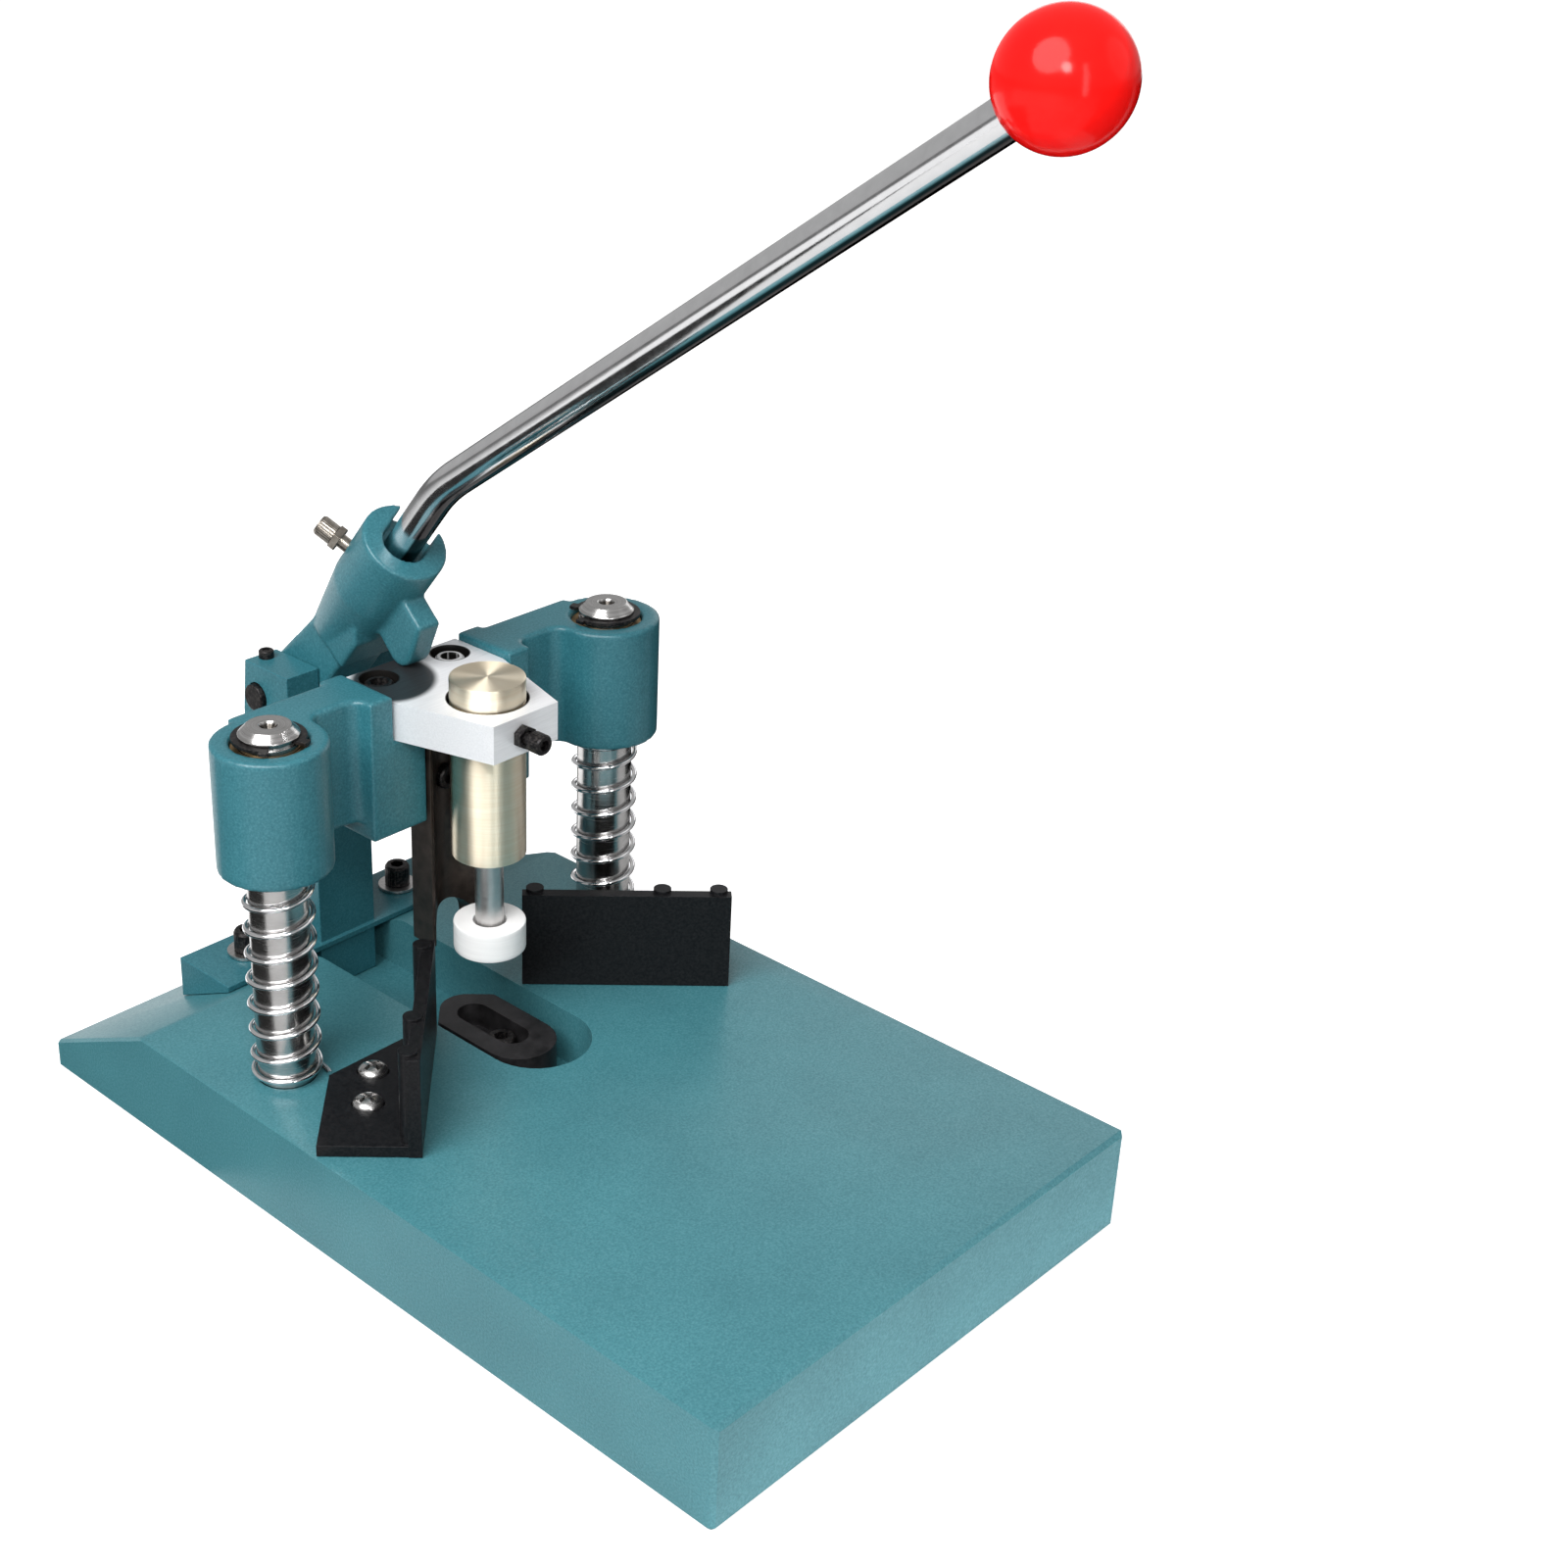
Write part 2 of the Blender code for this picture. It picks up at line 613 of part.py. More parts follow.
def socket_cap(base, up, head_radius, head_height, shank_radius, shank_length):
    """A cap screw with a hexagon socket: base is under the head, up points out of it."""
    direction = Vector(up).normalized()
    start = Vector(base)
    top = start + direction * head_height
    screw = cylinder(start, top, head_radius)
    shank_end = start - direction * shank_length
    join(screw, cylinder(shank_end, start + direction * GAP, shank_radius))
    key = cylinder(top - direction * (head_height * HEX_share), top + direction * OVERRUN,
                   head_radius * HEX_share, 6)
    cut(screw, key)
    return screw


def die_screw_seat():
    return DIE_TOP - DIE_SLOT_DEPTH + GAP


def lower_die():
    front = arc((0, DIE_END_Y), DIE_HALF_WIDTH, math.pi, 2 * math.pi, ROUND_SIDES // 2)
    rear = corner_outline(SHEAR_GAP, DIE_HALF_WIDTH, DIE_END_Y)[1:-1]
    die = plate(front + rear, (CHANNEL_FLOOR + GAP, DIE_TOP), "Z")
    wide = oblong(0, DIE_SLOT_FRONT_Y, DIE_SLOT_REAR_Y, DIE_SLOT_RADIUS)
    cut(die, plate(wide, (DIE_TOP - DIE_SLOT_DEPTH, DIE_TOP + OVERRUN), "Z"))
    narrow = oblong(0, DIE_SLOT_FRONT_Y, DIE_SLOT_REAR_Y, DIE_SCREW_RADIUS + GAP)
    cut(die, plate(narrow, (CHANNEL_FLOOR - OVERRUN, DIE_TOP), "Z"))
    finish(die, "lower_die", DIE_STEEL)


def die_screw():
    screw = socket_cap((0, DIE_SCREW_Y, die_screw_seat()), (0, 0, 1), DIE_SCREW_HEAD_RADIUS,
                       DIE_SCREW_HEAD, DIE_SCREW_RADIUS, DIE_SCREW_LENGTH)
    finish(screw, "die_screw", BLACK_STEEL)


def head_casting():
    head = box((-HEAD_HALF_WIDTH, HEAD_HALF_WIDTH), (HEAD_FRONT_Y, HEAD_REAR_Y), (HEAD_BOTTOM, HEAD_TOP))
    arms = (-POST_HALF_SPAN, POST_HALF_SPAN)
    join(head, box(arms, (ARM_FRONT_Y, ARM_REAR_Y), (BOSS_BOTTOM, HEAD_TOP)))
    for x in arms:
        join(head, cylinder((x, 0, BOSS_BOTTOM), (x, 0, HEAD_TOP), BOSS_RADIUS, ROUND_SIDES))
    for side_sign in (-1, 1):
        for outline in head_fillets(side_sign):
            join(head, plate(outline, (BOSS_BOTTOM, HEAD_TOP), "Z"))
    for x in arms:
        bore = ((x, 0, BOSS_BOTTOM - OVERRUN), (x, 0, HEAD_TOP + OVERRUN))
        cut(head, cylinder(*bore, BUSHING_RADIUS + GAP, ROUND_SIDES))
    pocket = BLOCK_HALF_WIDTH + GAP
    cut(head, box((-pocket, pocket), (HEAD_FRONT_Y - OVERRUN, HEAD_REAR_Y + OVERRUN),
                  (BLOCK_BOTTOM - GAP, HEAD_TOP + OVERRUN)))
    slot = BLADE_HALF_WIDTH + GAP
    cut(head, box((-slot, slot), (HEAD_FRONT_Y - OVERRUN, BLADE_REAR_Y + GAP),
                  (HEAD_BOTTOM - OVERRUN, BLOCK_BOTTOM)))
    for x in (-BLOCK_SCREW_X, BLOCK_SCREW_X):
        tip = block_screw_seat() - BLOCK_SCREW_LENGTH - GAP
        cut(head, cylinder((x, BLOCK_SCREW_Y, tip), (x, BLOCK_SCREW_Y, HEAD_TOP), BLOCK_SCREW_RADIUS + GAP))
    for z in blade_screw_heights():
        end = BLADE_REAR_Y + BLADE_SCREW_GRIP + GAP
        cut(head, cylinder((0, BLADE_FRONT_Y, z), (0, end, z), BLADE_SCREW_RADIUS + GAP))
    finish(head, "head_casting", TEAL)


def head_fillets(side_sign):
    """Outlines of the cast fillets in front of an arm, at the block and at the boss."""
    radius = HEAD_FILLET
    back = ARM_FRONT_Y + radius
    centre_y = ARM_FRONT_Y - radius
    block = HEAD_HALF_WIDTH
    boss = POST_HALF_SPAN - BOSS_RADIUS - radius
    quarter = math.pi / 2
    at_block = arc((block + radius, centre_y), radius, 2 * quarter, quarter, SMALL_SIDES // 4)
    at_boss = arc((boss, centre_y), radius, quarter, 0, SMALL_SIDES // 4)
    inside = block - radius
    beyond = POST_HALF_SPAN - BUSHING_RADIUS - OVERRUN
    outlines = ([(inside, centre_y)] + at_block + [(block + radius, back), (inside, back)],
                at_boss + [(beyond, centre_y), (beyond, back), (boss, back)])
    return [[(side_sign * x, y) for x, y in outline][::side_sign] for outline in outlines]


def blade_screw_heights():
    return (BLADE_SCREW_LOW_Z, BLADE_SCREW_LOW_Z + BLADE_SCREW_PITCH)


def blade():
    width = BLADE_HALF_WIDTH
    body = box((-width, width), (BLADE_FRONT_Y, BLADE_REAR_Y), (BLADE_TIP_Z, BLOCK_BOTTOM - 2 * GAP))
    groove_width = CORNER_VERTEX_Y - BLADE_FRONT_Y
    front = BLADE_FRONT_Y - OVERRUN
    groove = corner_outline(0, groove_width + OVERRUN, front - OVERRUN)
    cut(body, plate(groove, (BLADE_TIP_Z - OVERRUN, BLOCK_BOTTOM + OVERRUN), "Z"))
    radius = BLADE_ARCH_RADIUS
    crown = arc((BLADE_TIP_Z + BLADE_ARCH_RISE, 0), radius, -math.pi / 2, math.pi / 2, ROUND_SIDES // 2)
    arch = [(BLADE_TIP_Z - OVERRUN, -radius)] + crown + [(BLADE_TIP_Z - OVERRUN, radius)]
    cut(body, plate(arch, (front, BLADE_REAR_Y + OVERRUN), "Y"))
    for z in blade_screw_heights():
        cut(body, cylinder((0, front, z), (0, BLADE_SCREW_SEAT_Y, z), BLADE_SCREW_HEAD_RADIUS + GAP))
        cut(body, cylinder((0, front, z), (0, BLADE_REAR_Y + OVERRUN, z), BLADE_SCREW_RADIUS + GAP))
    finish(body, "upper_blade", BLADE_STEEL)


def blade_screws():
    grip = BLADE_REAR_Y + BLADE_SCREW_GRIP - BLADE_SCREW_SEAT_Y
    for name, z in zip(("blade_screw_lower", "blade_screw_upper"), blade_screw_heights()):
        screw = socket_cap((0, BLADE_SCREW_SEAT_Y - GAP, z), (0, -1, 0), BLADE_SCREW_HEAD_RADIUS,
                           BLADE_SCREW_HEAD, BLADE_SCREW_RADIUS, grip)
        finish(screw, name, BLACK_STEEL)


def block_screw_seat():
    return BLOCK_TOP - BLOCK_SCREW_SINK - BLOCK_SCREW_HEAD


def clamp_block():
    wide = BLOCK_HALF_WIDTH
    nose = BLOCK_NOSE_HALF_WIDTH
    outline = [(-nose, BLOCK_FRONT_Y), (nose, BLOCK_FRONT_Y), (wide, BLOCK_TAPER_Y), (wide, BLOCK_REAR_Y),
               (-wide, BLOCK_REAR_Y), (-wide, BLOCK_TAPER_Y)]
    block = plate(outline, (BLOCK_BOTTOM, BLOCK_TOP), "Z")
    below = BLOCK_BOTTOM - OVERRUN
    above = BLOCK_TOP + OVERRUN
    cut(block, cylinder((0, PRESSER_Y, below), (0, PRESSER_Y, above), SLEEVE_RADIUS + BLOCK_BORE_PLAY,
                        ROUND_SIDES))
    for x in (-BLOCK_SCREW_X, BLOCK_SCREW_X):
        seat = block_screw_seat() - GAP
        cut(block, cylinder((x, BLOCK_SCREW_Y, seat), (x, BLOCK_SCREW_Y, above), BLOCK_SCREW_WELL))
        cut(block, cylinder((x, BLOCK_SCREW_Y, below), (x, BLOCK_SCREW_Y, above), BLOCK_SCREW_RADIUS + GAP))
    z = (BLOCK_BOTTOM + BLOCK_TOP) / 2
    x = SLEEVE_SCREW_X
    cut(block, cylinder((x, BLOCK_FRONT_Y - OVERRUN, z), (x, PRESSER_Y, z), SLEEVE_SCREW_RADIUS + GAP))
    finish(block, "clamp_block", ALUMINIUM)


def block_screws():
    for name, x in (("left_block_screw", -BLOCK_SCREW_X), ("right_block_screw", BLOCK_SCREW_X)):
        screw = socket_cap((x, BLOCK_SCREW_Y, block_screw_seat()), (0, 0, 1), BLOCK_SCREW_HEAD_RADIUS,
                           BLOCK_SCREW_HEAD, BLOCK_SCREW_RADIUS, BLOCK_SCREW_LENGTH)
        finish(screw, name, STEEL)


def sleeve_lock_screw():
    """The screw that pinches the sleeve in the block, and its lock nut."""
    z = (BLOCK_BOTTOM + BLOCK_TOP) / 2
    nut_start = (SLEEVE_SCREW_X, BLOCK_FRONT_Y - GAP, z)
    nut_end = (SLEEVE_SCREW_X, BLOCK_FRONT_Y - GAP - SLEEVE_NUT, z)
    nut = cylinder(nut_start, nut_end, SLEEVE_NUT_RADIUS, 6)
    cut(nut, cylinder((SLEEVE_SCREW_X, BLOCK_FRONT_Y + OVERRUN, z),
                      (SLEEVE_SCREW_X, BLOCK_FRONT_Y - SLEEVE_NUT - OVERRUN, z), SLEEVE_SCREW_RADIUS + GAP))
    finish(nut, "sleeve_lock_nut", BLACK_STEEL)
    seat_y = BLOCK_FRONT_Y - SLEEVE_SCREW_STANDOUT
    length = PRESSER_Y - SLEEVE_RADIUS - GAP - seat_y
    screw = socket_cap((SLEEVE_SCREW_X, seat_y, z), (0, -1, 0), SLEEVE_SCREW_HEAD_RADIUS, SLEEVE_SCREW_HEAD,
                       SLEEVE_SCREW_RADIUS, length)
    finish(screw, "sleeve_lock_screw", BLACK_STEEL)


def presser_sleeve():
    neck_top = SLEEVE_BOTTOM_Z + SLEEVE_NECK
    bore = ROD_RADIUS + GAP
    top = CAP_SEAT - GAP
    profile = [(CHAMBER_RADIUS, top), (SLEEVE_RADIUS, top), (SLEEVE_RADIUS, SLEEVE_BOTTOM_Z),
               (bore, SLEEVE_BOTTOM_Z), (bore, neck_top), (CHAMBER_RADIUS, neck_top), (CHAMBER_RADIUS, top)]
    finish(turned(profile, (0, PRESSER_Y)), "presser_sleeve", BRASS)


def sleeve_cap():
    spigot = CHAMBER_RADIUS - GAP
    profile = [(0, SLEEVE_TOP), (SLEEVE_RADIUS - GAP, SLEEVE_TOP), (SLEEVE_RADIUS, SLEEVE_TOP - GAP),
               (SLEEVE_RADIUS, CAP_SEAT), (spigot, CAP_SEAT), (spigot, CAP_SEAT - CAP_SPIGOT),
               (0, CAP_SEAT - CAP_SPIGOT)]
    finish(turned(profile, (0, PRESSER_Y)), "sleeve_cap", BRASS)


def presser_rod():
    top = COLLAR_TOP + ROD_TAIL
    collar = CHAMBER_RADIUS - GAP
    bottom = FOOT_BOTTOM_Z + FOOT_FLOOR + GAP
    profile = [(0, top), (ROD_RADIUS, top), (ROD_RADIUS, COLLAR_TOP), (collar, COLLAR_TOP),
               (collar, COLLAR_BOTTOM), (ROD_RADIUS, COLLAR_BOTTOM), (ROD_RADIUS, bottom), (0, bottom)]
    finish(turned(profile, (0, PRESSER_Y)), "presser_rod", STEEL)


def presser_foot():
    top = FOOT_BOTTOM_Z + FOOT_HEIGHT
    pocket = top - FOOT_POCKET_DEPTH
    bore = ROD_RADIUS + GAP
    floor = FOOT_BOTTOM_Z + FOOT_FLOOR
    profile = [(0, floor), (bore, floor), (bore, pocket), (FOOT_POCKET_RADIUS, pocket),
               (FOOT_POCKET_RADIUS, top), (FOOT_RADIUS, top), (FOOT_RADIUS, FOOT_BOTTOM_Z),
               (0, FOOT_BOTTOM_Z)]
    finish(turned(profile, (0, PRESSER_Y)), "presser_foot", WHITE_PLASTIC)


def presser_spring():
    low = COLLAR_TOP + GAP + PRESSER_WIRE_RADIUS
    high = CAP_SEAT - CAP_SPIGOT - GAP - PRESSER_WIRE_RADIUS
    points = coil_points((0, PRESSER_Y), PRESSER_SPRING_RADIUS, low, high, PRESSER_SPRING_TURNS,
                         PRESSER_END_PITCH)
    report_self_gap("presser_spring", points, PRESSER_WIRE_RADIUS)
    finish(tube(points, PRESSER_WIRE_RADIUS, 1), "presser_spring", STEEL)


def pedestal_casting():
    front = PEDESTAL_FOOT_FRONT_Y
    rear = PEDESTAL_FOOT_REAR_Y
    foot = [(front, slope_height(front) + GAP), (rear, slope_height(rear) + GAP),
            (rear, PEDESTAL_FOOT_TOP), (front, PEDESTAL_FOOT_TOP)]
    pedestal = plate(foot, (-PEDESTAL_FOOT_HALF_WIDTH, PEDESTAL_FOOT_HALF_WIDTH), "X")
    join(pedestal, box((-COLUMN_HALF_WIDTH, COLUMN_HALF_WIDTH), (COLUMN_FRONT_Y, COLUMN_REAR_Y),
                       (CHANNEL_FLOOR + GAP, YOKE_TOP)))
    yoke = [(-CHEEK_OUTER, YOKE_TOP + OVERRUN), (-CHEEK_OUTER, YOKE_TOP), (-COLUMN_HALF_WIDTH, YOKE_BOTTOM),
            (COLUMN_HALF_WIDTH, YOKE_BOTTOM), (CHEEK_OUTER, YOKE_TOP), (CHEEK_OUTER, YOKE_TOP + OVERRUN)]
    turned_yoke = [(z, x) for x, z in yoke]
    join(pedestal, plate(turned_yoke, (CHEEK_FRONT_Y, CHEEK_REAR_Y), "Y"))
    cheek = [(CHEEK_FRONT_Y, YOKE_TOP), (CHEEK_REAR_Y, YOKE_TOP), (CHEEK_REAR_Y, CHEEK_SHOULDER_Z),
             (CHEEK_TOP_REAR_Y, CHEEK_TOP), (CHEEK_FRONT_Y, CHEEK_TOP)]
    for limits in ((-CHEEK_OUTER, -CHEEK_INNER), (CHEEK_INNER, CHEEK_OUTER)):
        join(pedestal, plate(cheek, limits, "X"))
    outside = CHEEK_OUTER + OVERRUN
    cut(pedestal, cylinder((-outside, PIVOT_Y, PIVOT_Z), (outside, PIVOT_Y, PIVOT_Z), PIN_RADIUS + GAP))
    for x in (-FOOT_SCREW_X, FOOT_SCREW_X):
        above = PEDESTAL_FOOT_TOP + OVERRUN
        cut(pedestal, cylinder((x, FOOT_SCREW_Y, CHANNEL_FLOOR), (x, FOOT_SCREW_Y, above),
                               FOOT_SCREW_RADIUS + GAP))
    lock = ((-LOCK_SCREW_X, LOCK_SCREW_Y, CHEEK_TOP - LOCK_SCREW_LENGTH - GAP),
            (-LOCK_SCREW_X, LOCK_SCREW_Y, CHEEK_TOP + OVERRUN))
    cut(pedestal, cylinder(*lock, LOCK_SCREW_RADIUS + GAP))
    finish(pedestal, "pedestal_casting", TEAL)


def pivot_pieces():
    length = CHEEK_OUTER + OVERRUN
    pin = cylinder((-length, PIVOT_Y, PIVOT_Z), (length, PIVOT_Y, PIVOT_Z), PIN_RADIUS)
    finish(pin, "pivot_pin", BLACK_STEEL)
    lock = socket_cap((-LOCK_SCREW_X, LOCK_SCREW_Y, CHEEK_TOP + GAP), (0, 0, 1), LOCK_SCREW_HEAD_RADIUS,
                      LOCK_SCREW_HEAD, LOCK_SCREW_RADIUS, LOCK_SCREW_LENGTH)
    finish(lock, "pin_lock_screw", BLACK_STEEL)


def foot_screw_seat():
    return PEDESTAL_FOOT_TOP + GAP + WASHER_THICKNESS + GAP


def pedestal_screws():
    for side, x in (("left", -FOOT_SCREW_X), ("right", FOOT_SCREW_X)):
        low = PEDESTAL_FOOT_TOP + GAP
        inner = FOOT_SCREW_RADIUS + GAP
        profile = [(inner, low + WASHER_THICKNESS), (WASHER_RADIUS, low + WASHER_THICKNESS),
                   (WASHER_RADIUS, low), (inner, low), (inner, low + WASHER_THICKNESS)]
        finish(turned(profile, (x, FOOT_SCREW_Y), SMALL_SIDES), side + "_pedestal_washer", STEEL)
        screw = socket_cap((x, FOOT_SCREW_Y, foot_screw_seat()), (0, 0, 1), FOOT_SCREW_HEAD_RADIUS,
                           FOOT_SCREW_HEAD, FOOT_SCREW_RADIUS, FOOT_SCREW_LENGTH)
        finish(screw, side + "_pedestal_screw", BLACK_STEEL)


def fence_point(side_sign, along, behind, turn=math.pi / 4):
    """A place on a fence: along its face from the rear, and behind the face."""
    reach = FENCE_STARTS[side_sign] + along
    x = (reach + behind) * math.cos(turn)
    y = FENCE_VERTEX_Y + (behind - reach) * math.sin(turn)
    return side_sign * x, y


def fence_screw_spots(side_sign):
    return [fence_point(side_sign, along, FENCE_SCREW_SETBACK)
            for along in (FENCE_SCREW_REAR, FENCE_SCREW_REAR + FENCE_SCREW_PITCH)]


def fence(name, side_sign):
    low = TABLE_HEIGHT + GAP

    def outline(points):
        spots = [fence_point(side_sign, *point) for point in points]
        return spots[::side_sign]

    inside = FENCE_PLATE / 2
    front_end = FENCE_LENGTH - GAP
    flange = outline([(FENCE_PLATE, inside), (front_end, inside), (front_end, FENCE_DEPTH),
                      (FENCE_DEPTH, FENCE_DEPTH), (FENCE_PLATE, FENCE_PLATE)])
    body = plate(flange, (low, low + FENCE_FLANGE), "Z")
    wall = outline([(0, 0), (FENCE_LENGTH, 0), (FENCE_LENGTH, FENCE_PLATE), (0, FENCE_PLATE)])
    join(body, plate(wall, (low, low + FENCE_HEIGHT), "Z"))
    for share in FENCE_RIB_shares:
        spot = fence_point(side_sign, FENCE_LENGTH * share, FENCE_PLATE - GAP)
        foot = (*spot, low + FENCE_FLANGE / 2)
        join(body, cylinder(foot, (*spot, low + FENCE_HEIGHT + FENCE_RIB_RISE), FENCE_RIB_RADIUS))
    slot = FENCE_SCREW_RADIUS + GAP
    for along in (FENCE_SCREW_REAR, FENCE_SCREW_REAR + FENCE_SCREW_PITCH):
        near = FENCE_SCREW_SETBACK - FENCE_TRAVEL - GAP
        far = FENCE_SCREW_SETBACK + FENCE_TRAVEL + GAP
        front = arc((along, near), slot, math.pi, 2 * math.pi, SMALL_SIDES // 2)
        back = arc((along, far), slot, 0, math.pi, SMALL_SIDES // 2)
        cut(body, plate(outline(front + back), (low - OVERRUN, low + FENCE_FLANGE + OVERRUN), "Z"))
    finish(body, name, BLACK_PLASTIC)


def fence_screw(name, spot):
    """A pan head with a cross recess, over a plain shank in the table."""
    seat = TABLE_HEIGHT + GAP + FENCE_FLANGE + GAP
    top = seat + FENCE_SCREW_HEAD
    rim = FENCE_SCREW_HEAD_RADIUS
    dome = [(rim * math.sin(step * math.pi / 8), seat + FENCE_SCREW_HEAD * math.cos(step * math.pi / 8))
            for step in range(1, 4)]
    tip = TABLE_HEIGHT - FENCE_SCREW_GRIP
    profile = [(0, top)] + dome + [(rim, seat), (FENCE_SCREW_RADIUS, seat), (FENCE_SCREW_RADIUS, tip), (0, tip)]
    screw = turned(profile, spot, SMALL_SIDES)
    x, y = spot
    half = CROSS_WIDTH / 2
    reach = CROSS_LENGTH / 2
    bottom = top - CROSS_DEPTH
    recess = box((x - half, x + half), (y - reach, y + reach), (bottom, top + OVERRUN))
    join(recess, box((x - reach, x + reach), (y - half, y + half), (bottom, top + OVERRUN)))
    cut(screw, recess)
    finish(screw, name, STEEL)


def lever_point(reach, side=0.0):
    """A place on the socket's axis, or to its front side in the lever's plane."""
    across = Vector((0, -SOCKET_AXIS.z, SOCKET_AXIS.y))
    return PIVOT + SOCKET_AXIS * reach + across * side


def lever_casting():
    width = SOCKET_ROOT_RADIUS - GAP
    full = lever_point(SOCKET_FULL_REACH)
    lever = cylinder(lever_point(BODY_START), full, SOCKET_ROOT_RADIUS, ROUND_SIDES, SOCKET_RADIUS)
    join(lever, cylinder(full, lever_point(SOCKET_REACH), SOCKET_RADIUS, ROUND_SIDES))
    join(lever, plate(body_outline(), (-width, width), "X"))
    join(lever, plate(nose_outline(), (-NOSE_HALF_WIDTH, NOSE_HALF_WIDTH), "X"))
    join(lever, plate(lug_outline(), (-LUG_HALF_WIDTH, LUG_HALF_WIDTH), "X"))
    wide = SOCKET_RADIUS + OVERRUN
    cut(lever, cylinder((-wide, PIVOT_Y, PIVOT_Z), (wide, PIVOT_Y, PIVOT_Z), PIN_RADIUS + GAP))
    beyond = SOCKET_REACH + OVERRUN
    cut(lever, cylinder(lever_point(SOCKET_BORE_START), lever_point(beyond), LEVER_ROD_RADIUS + GAP,
                        ROUND_SIDES))
    floor = lever_point(SOCKET_REACH - SOCKET_MOUTH_DEPTH)
    cut(lever, cylinder(floor, lever_point(beyond), SOCKET_MOUTH_RADIUS, ROUND_SIDES))
    cut(lever, mouth_slot(floor, wide))
    out = clamp_direction()
    start = lever_point(CLAMP_BOLT_REACH)
    cut(lever, cylinder(start, start + out * wide, CLAMP_BOLT_RADIUS + GAP))
    return finish(lever, "lever_casting", TEAL)


def mouth_slot(floor, wide):
    """The notch in the socket's mouth, open to the right and a little to the rear."""
    behind = Vector((0, SOCKET_AXIS.z, -SOCKET_AXIS.y))
    out = Vector((1, 0, 0)) * math.cos(SOCKET_SLOT_TURN) + behind * math.sin(SOCKET_SLOT_TURN)
    across = SOCKET_AXIS.cross(out)
    far = SOCKET_AXIS * (SOCKET_MOUTH_DEPTH + OVERRUN)
    half = SOCKET_MOUTH_RADIUS - GAP
    bm = bmesh.new()
    corners = [bm.verts.new(place(*(floor + rise + reach + side)))
               for rise in (Vector(), far)
               for reach, side in ((Vector(), -across * half), (out * wide, -across * half),
                                   (out * wide, across * half), (Vector(), across * half))]
    for face in ((3, 2, 1, 0), (4, 5, 6, 7), (0, 1, 5, 4), (1, 2, 6, 5), (2, 3, 7, 6), (3, 0, 4, 7)):
        bm.faces.new([corners[index] for index in face])
    return object_from(bm, "slot")


def body_outline():
    """The socket's square front at its lower end, which fades into the round above."""
    corners = ((BODY_START, 0), (BODY_START, BODY_DEPTH), (BODY_START + BODY_FLAT, BODY_DEPTH),
               (BODY_START + BODY_FADE, 0))
    places = [lever_point(*corner) for corner in corners]
    return [(point.y, point.z) for point in places]


def nose_outline():
    """The nose that presses the clamp block: a round tip below a brow, with a slope up to
    the brow in front and to the socket behind."""
    y, z = NOSE_CENTRE.y, NOSE_CENTRE.z
    brow = Vector((y - NOSE_BROW, z + NOSE_BROW_HEIGHT))
    crown = (y - NOSE_CROWN, z + NOSE_CROWN_HEIGHT)
    root = Vector((y + NOSE_ROOT, z + NOSE_ROOT_HEIGHT))
    centre = Vector((y, z))
    turns = []
    for point, side in ((root, -1), (brow, 1)):
        away = point - centre
        turns.append(math.atan2(away.y, away.x) + side * math.acos(NOSE_RADIUS / away.length))
    tip = arc((y, z), NOSE_RADIUS, turns[0], turns[1] - 2 * math.pi, NOSE_STEPS)
    inside = lever_point(BODY_START + BODY_FADE)
    return [tuple(root)] + tip + [tuple(brow), crown, (inside.y, inside.z)]


def lug_outline():
    """The narrow lug between the cheeks, round about the pin."""
    lean = math.atan2(SOCKET_AXIS.z, SOCKET_AXIS.y)
    round_end = arc((PIVOT_Y, PIVOT_Z), LUG_RADIUS, lean + math.pi / 2, lean + 3 * math.pi / 2,
                    ROUND_SIDES // 2)
    far = BODY_START + OVERRUN
    near = lever_point(far, -LUG_NECK)
    other = lever_point(far, LUG_RADIUS)
    return round_end + [(near.y, near.z), (other.y, other.z)]


def clamp_direction():
    """Out of the socket's rear, turned towards the left."""
    rear = Vector((0, SOCKET_AXIS.z, -SOCKET_AXIS.y))
    return rear * math.cos(CLAMP_BOLT_TURN) - Vector((1, 0, 0)) * math.sin(CLAMP_BOLT_TURN)


def lever_rod():
    """The bent bar from the socket to the ball, with an arc at the bend."""
    turn = SOCKET_LEAN - ARM_LEAN
    setback = BEND_RADIUS * math.tan(turn / 2)
    start = lever_point(SOCKET_BORE_START + GAP)
    bend_start = BEND_POINT - SOCKET_AXIS * setback
    towards = Vector((0, -SOCKET_AXIS.z, SOCKET_AXIS.y))
    centre = bend_start + towards * BEND_RADIUS
    points = [start]
    for step in range(BEND_STEPS + 1):
        swing = Matrix.Rotation(turn * step / BEND_STEPS, 3, "X")
        points.append(centre + swing @ (bend_start - centre))
    points.append(BALL_CENTRE - ARM_AXIS * (BALL_RADIUS - BALL_SOCKET_DEPTH + GAP))
    return finish(tube(points, LEVER_ROD_RADIUS, 6), "lever_rod", CHROME)


def ball_knob():
    bm = bmesh.new()
    bmesh.ops.create_uvsphere(bm, u_segments=32, v_segments=20, radius=BALL_RADIUS)
    ball = object_from(bm, "ball")
    ball.rotation_mode = "QUATERNION"
    ball.rotation_quaternion = ARM_AXIS.to_track_quat("Z", "Y")
    ball.location = place(*BALL_CENTRE)
    floor = BALL_CENTRE - ARM_AXIS * (BALL_RADIUS - BALL_SOCKET_DEPTH)
    mouth = BALL_CENTRE - ARM_AXIS * (BALL_RADIUS + OVERRUN)
    cut(ball, cylinder(mouth, floor, LEVER_ROD_RADIUS + GAP, ROUND_SIDES))
    return finish(ball, "ball_knob", RED_PLASTIC)


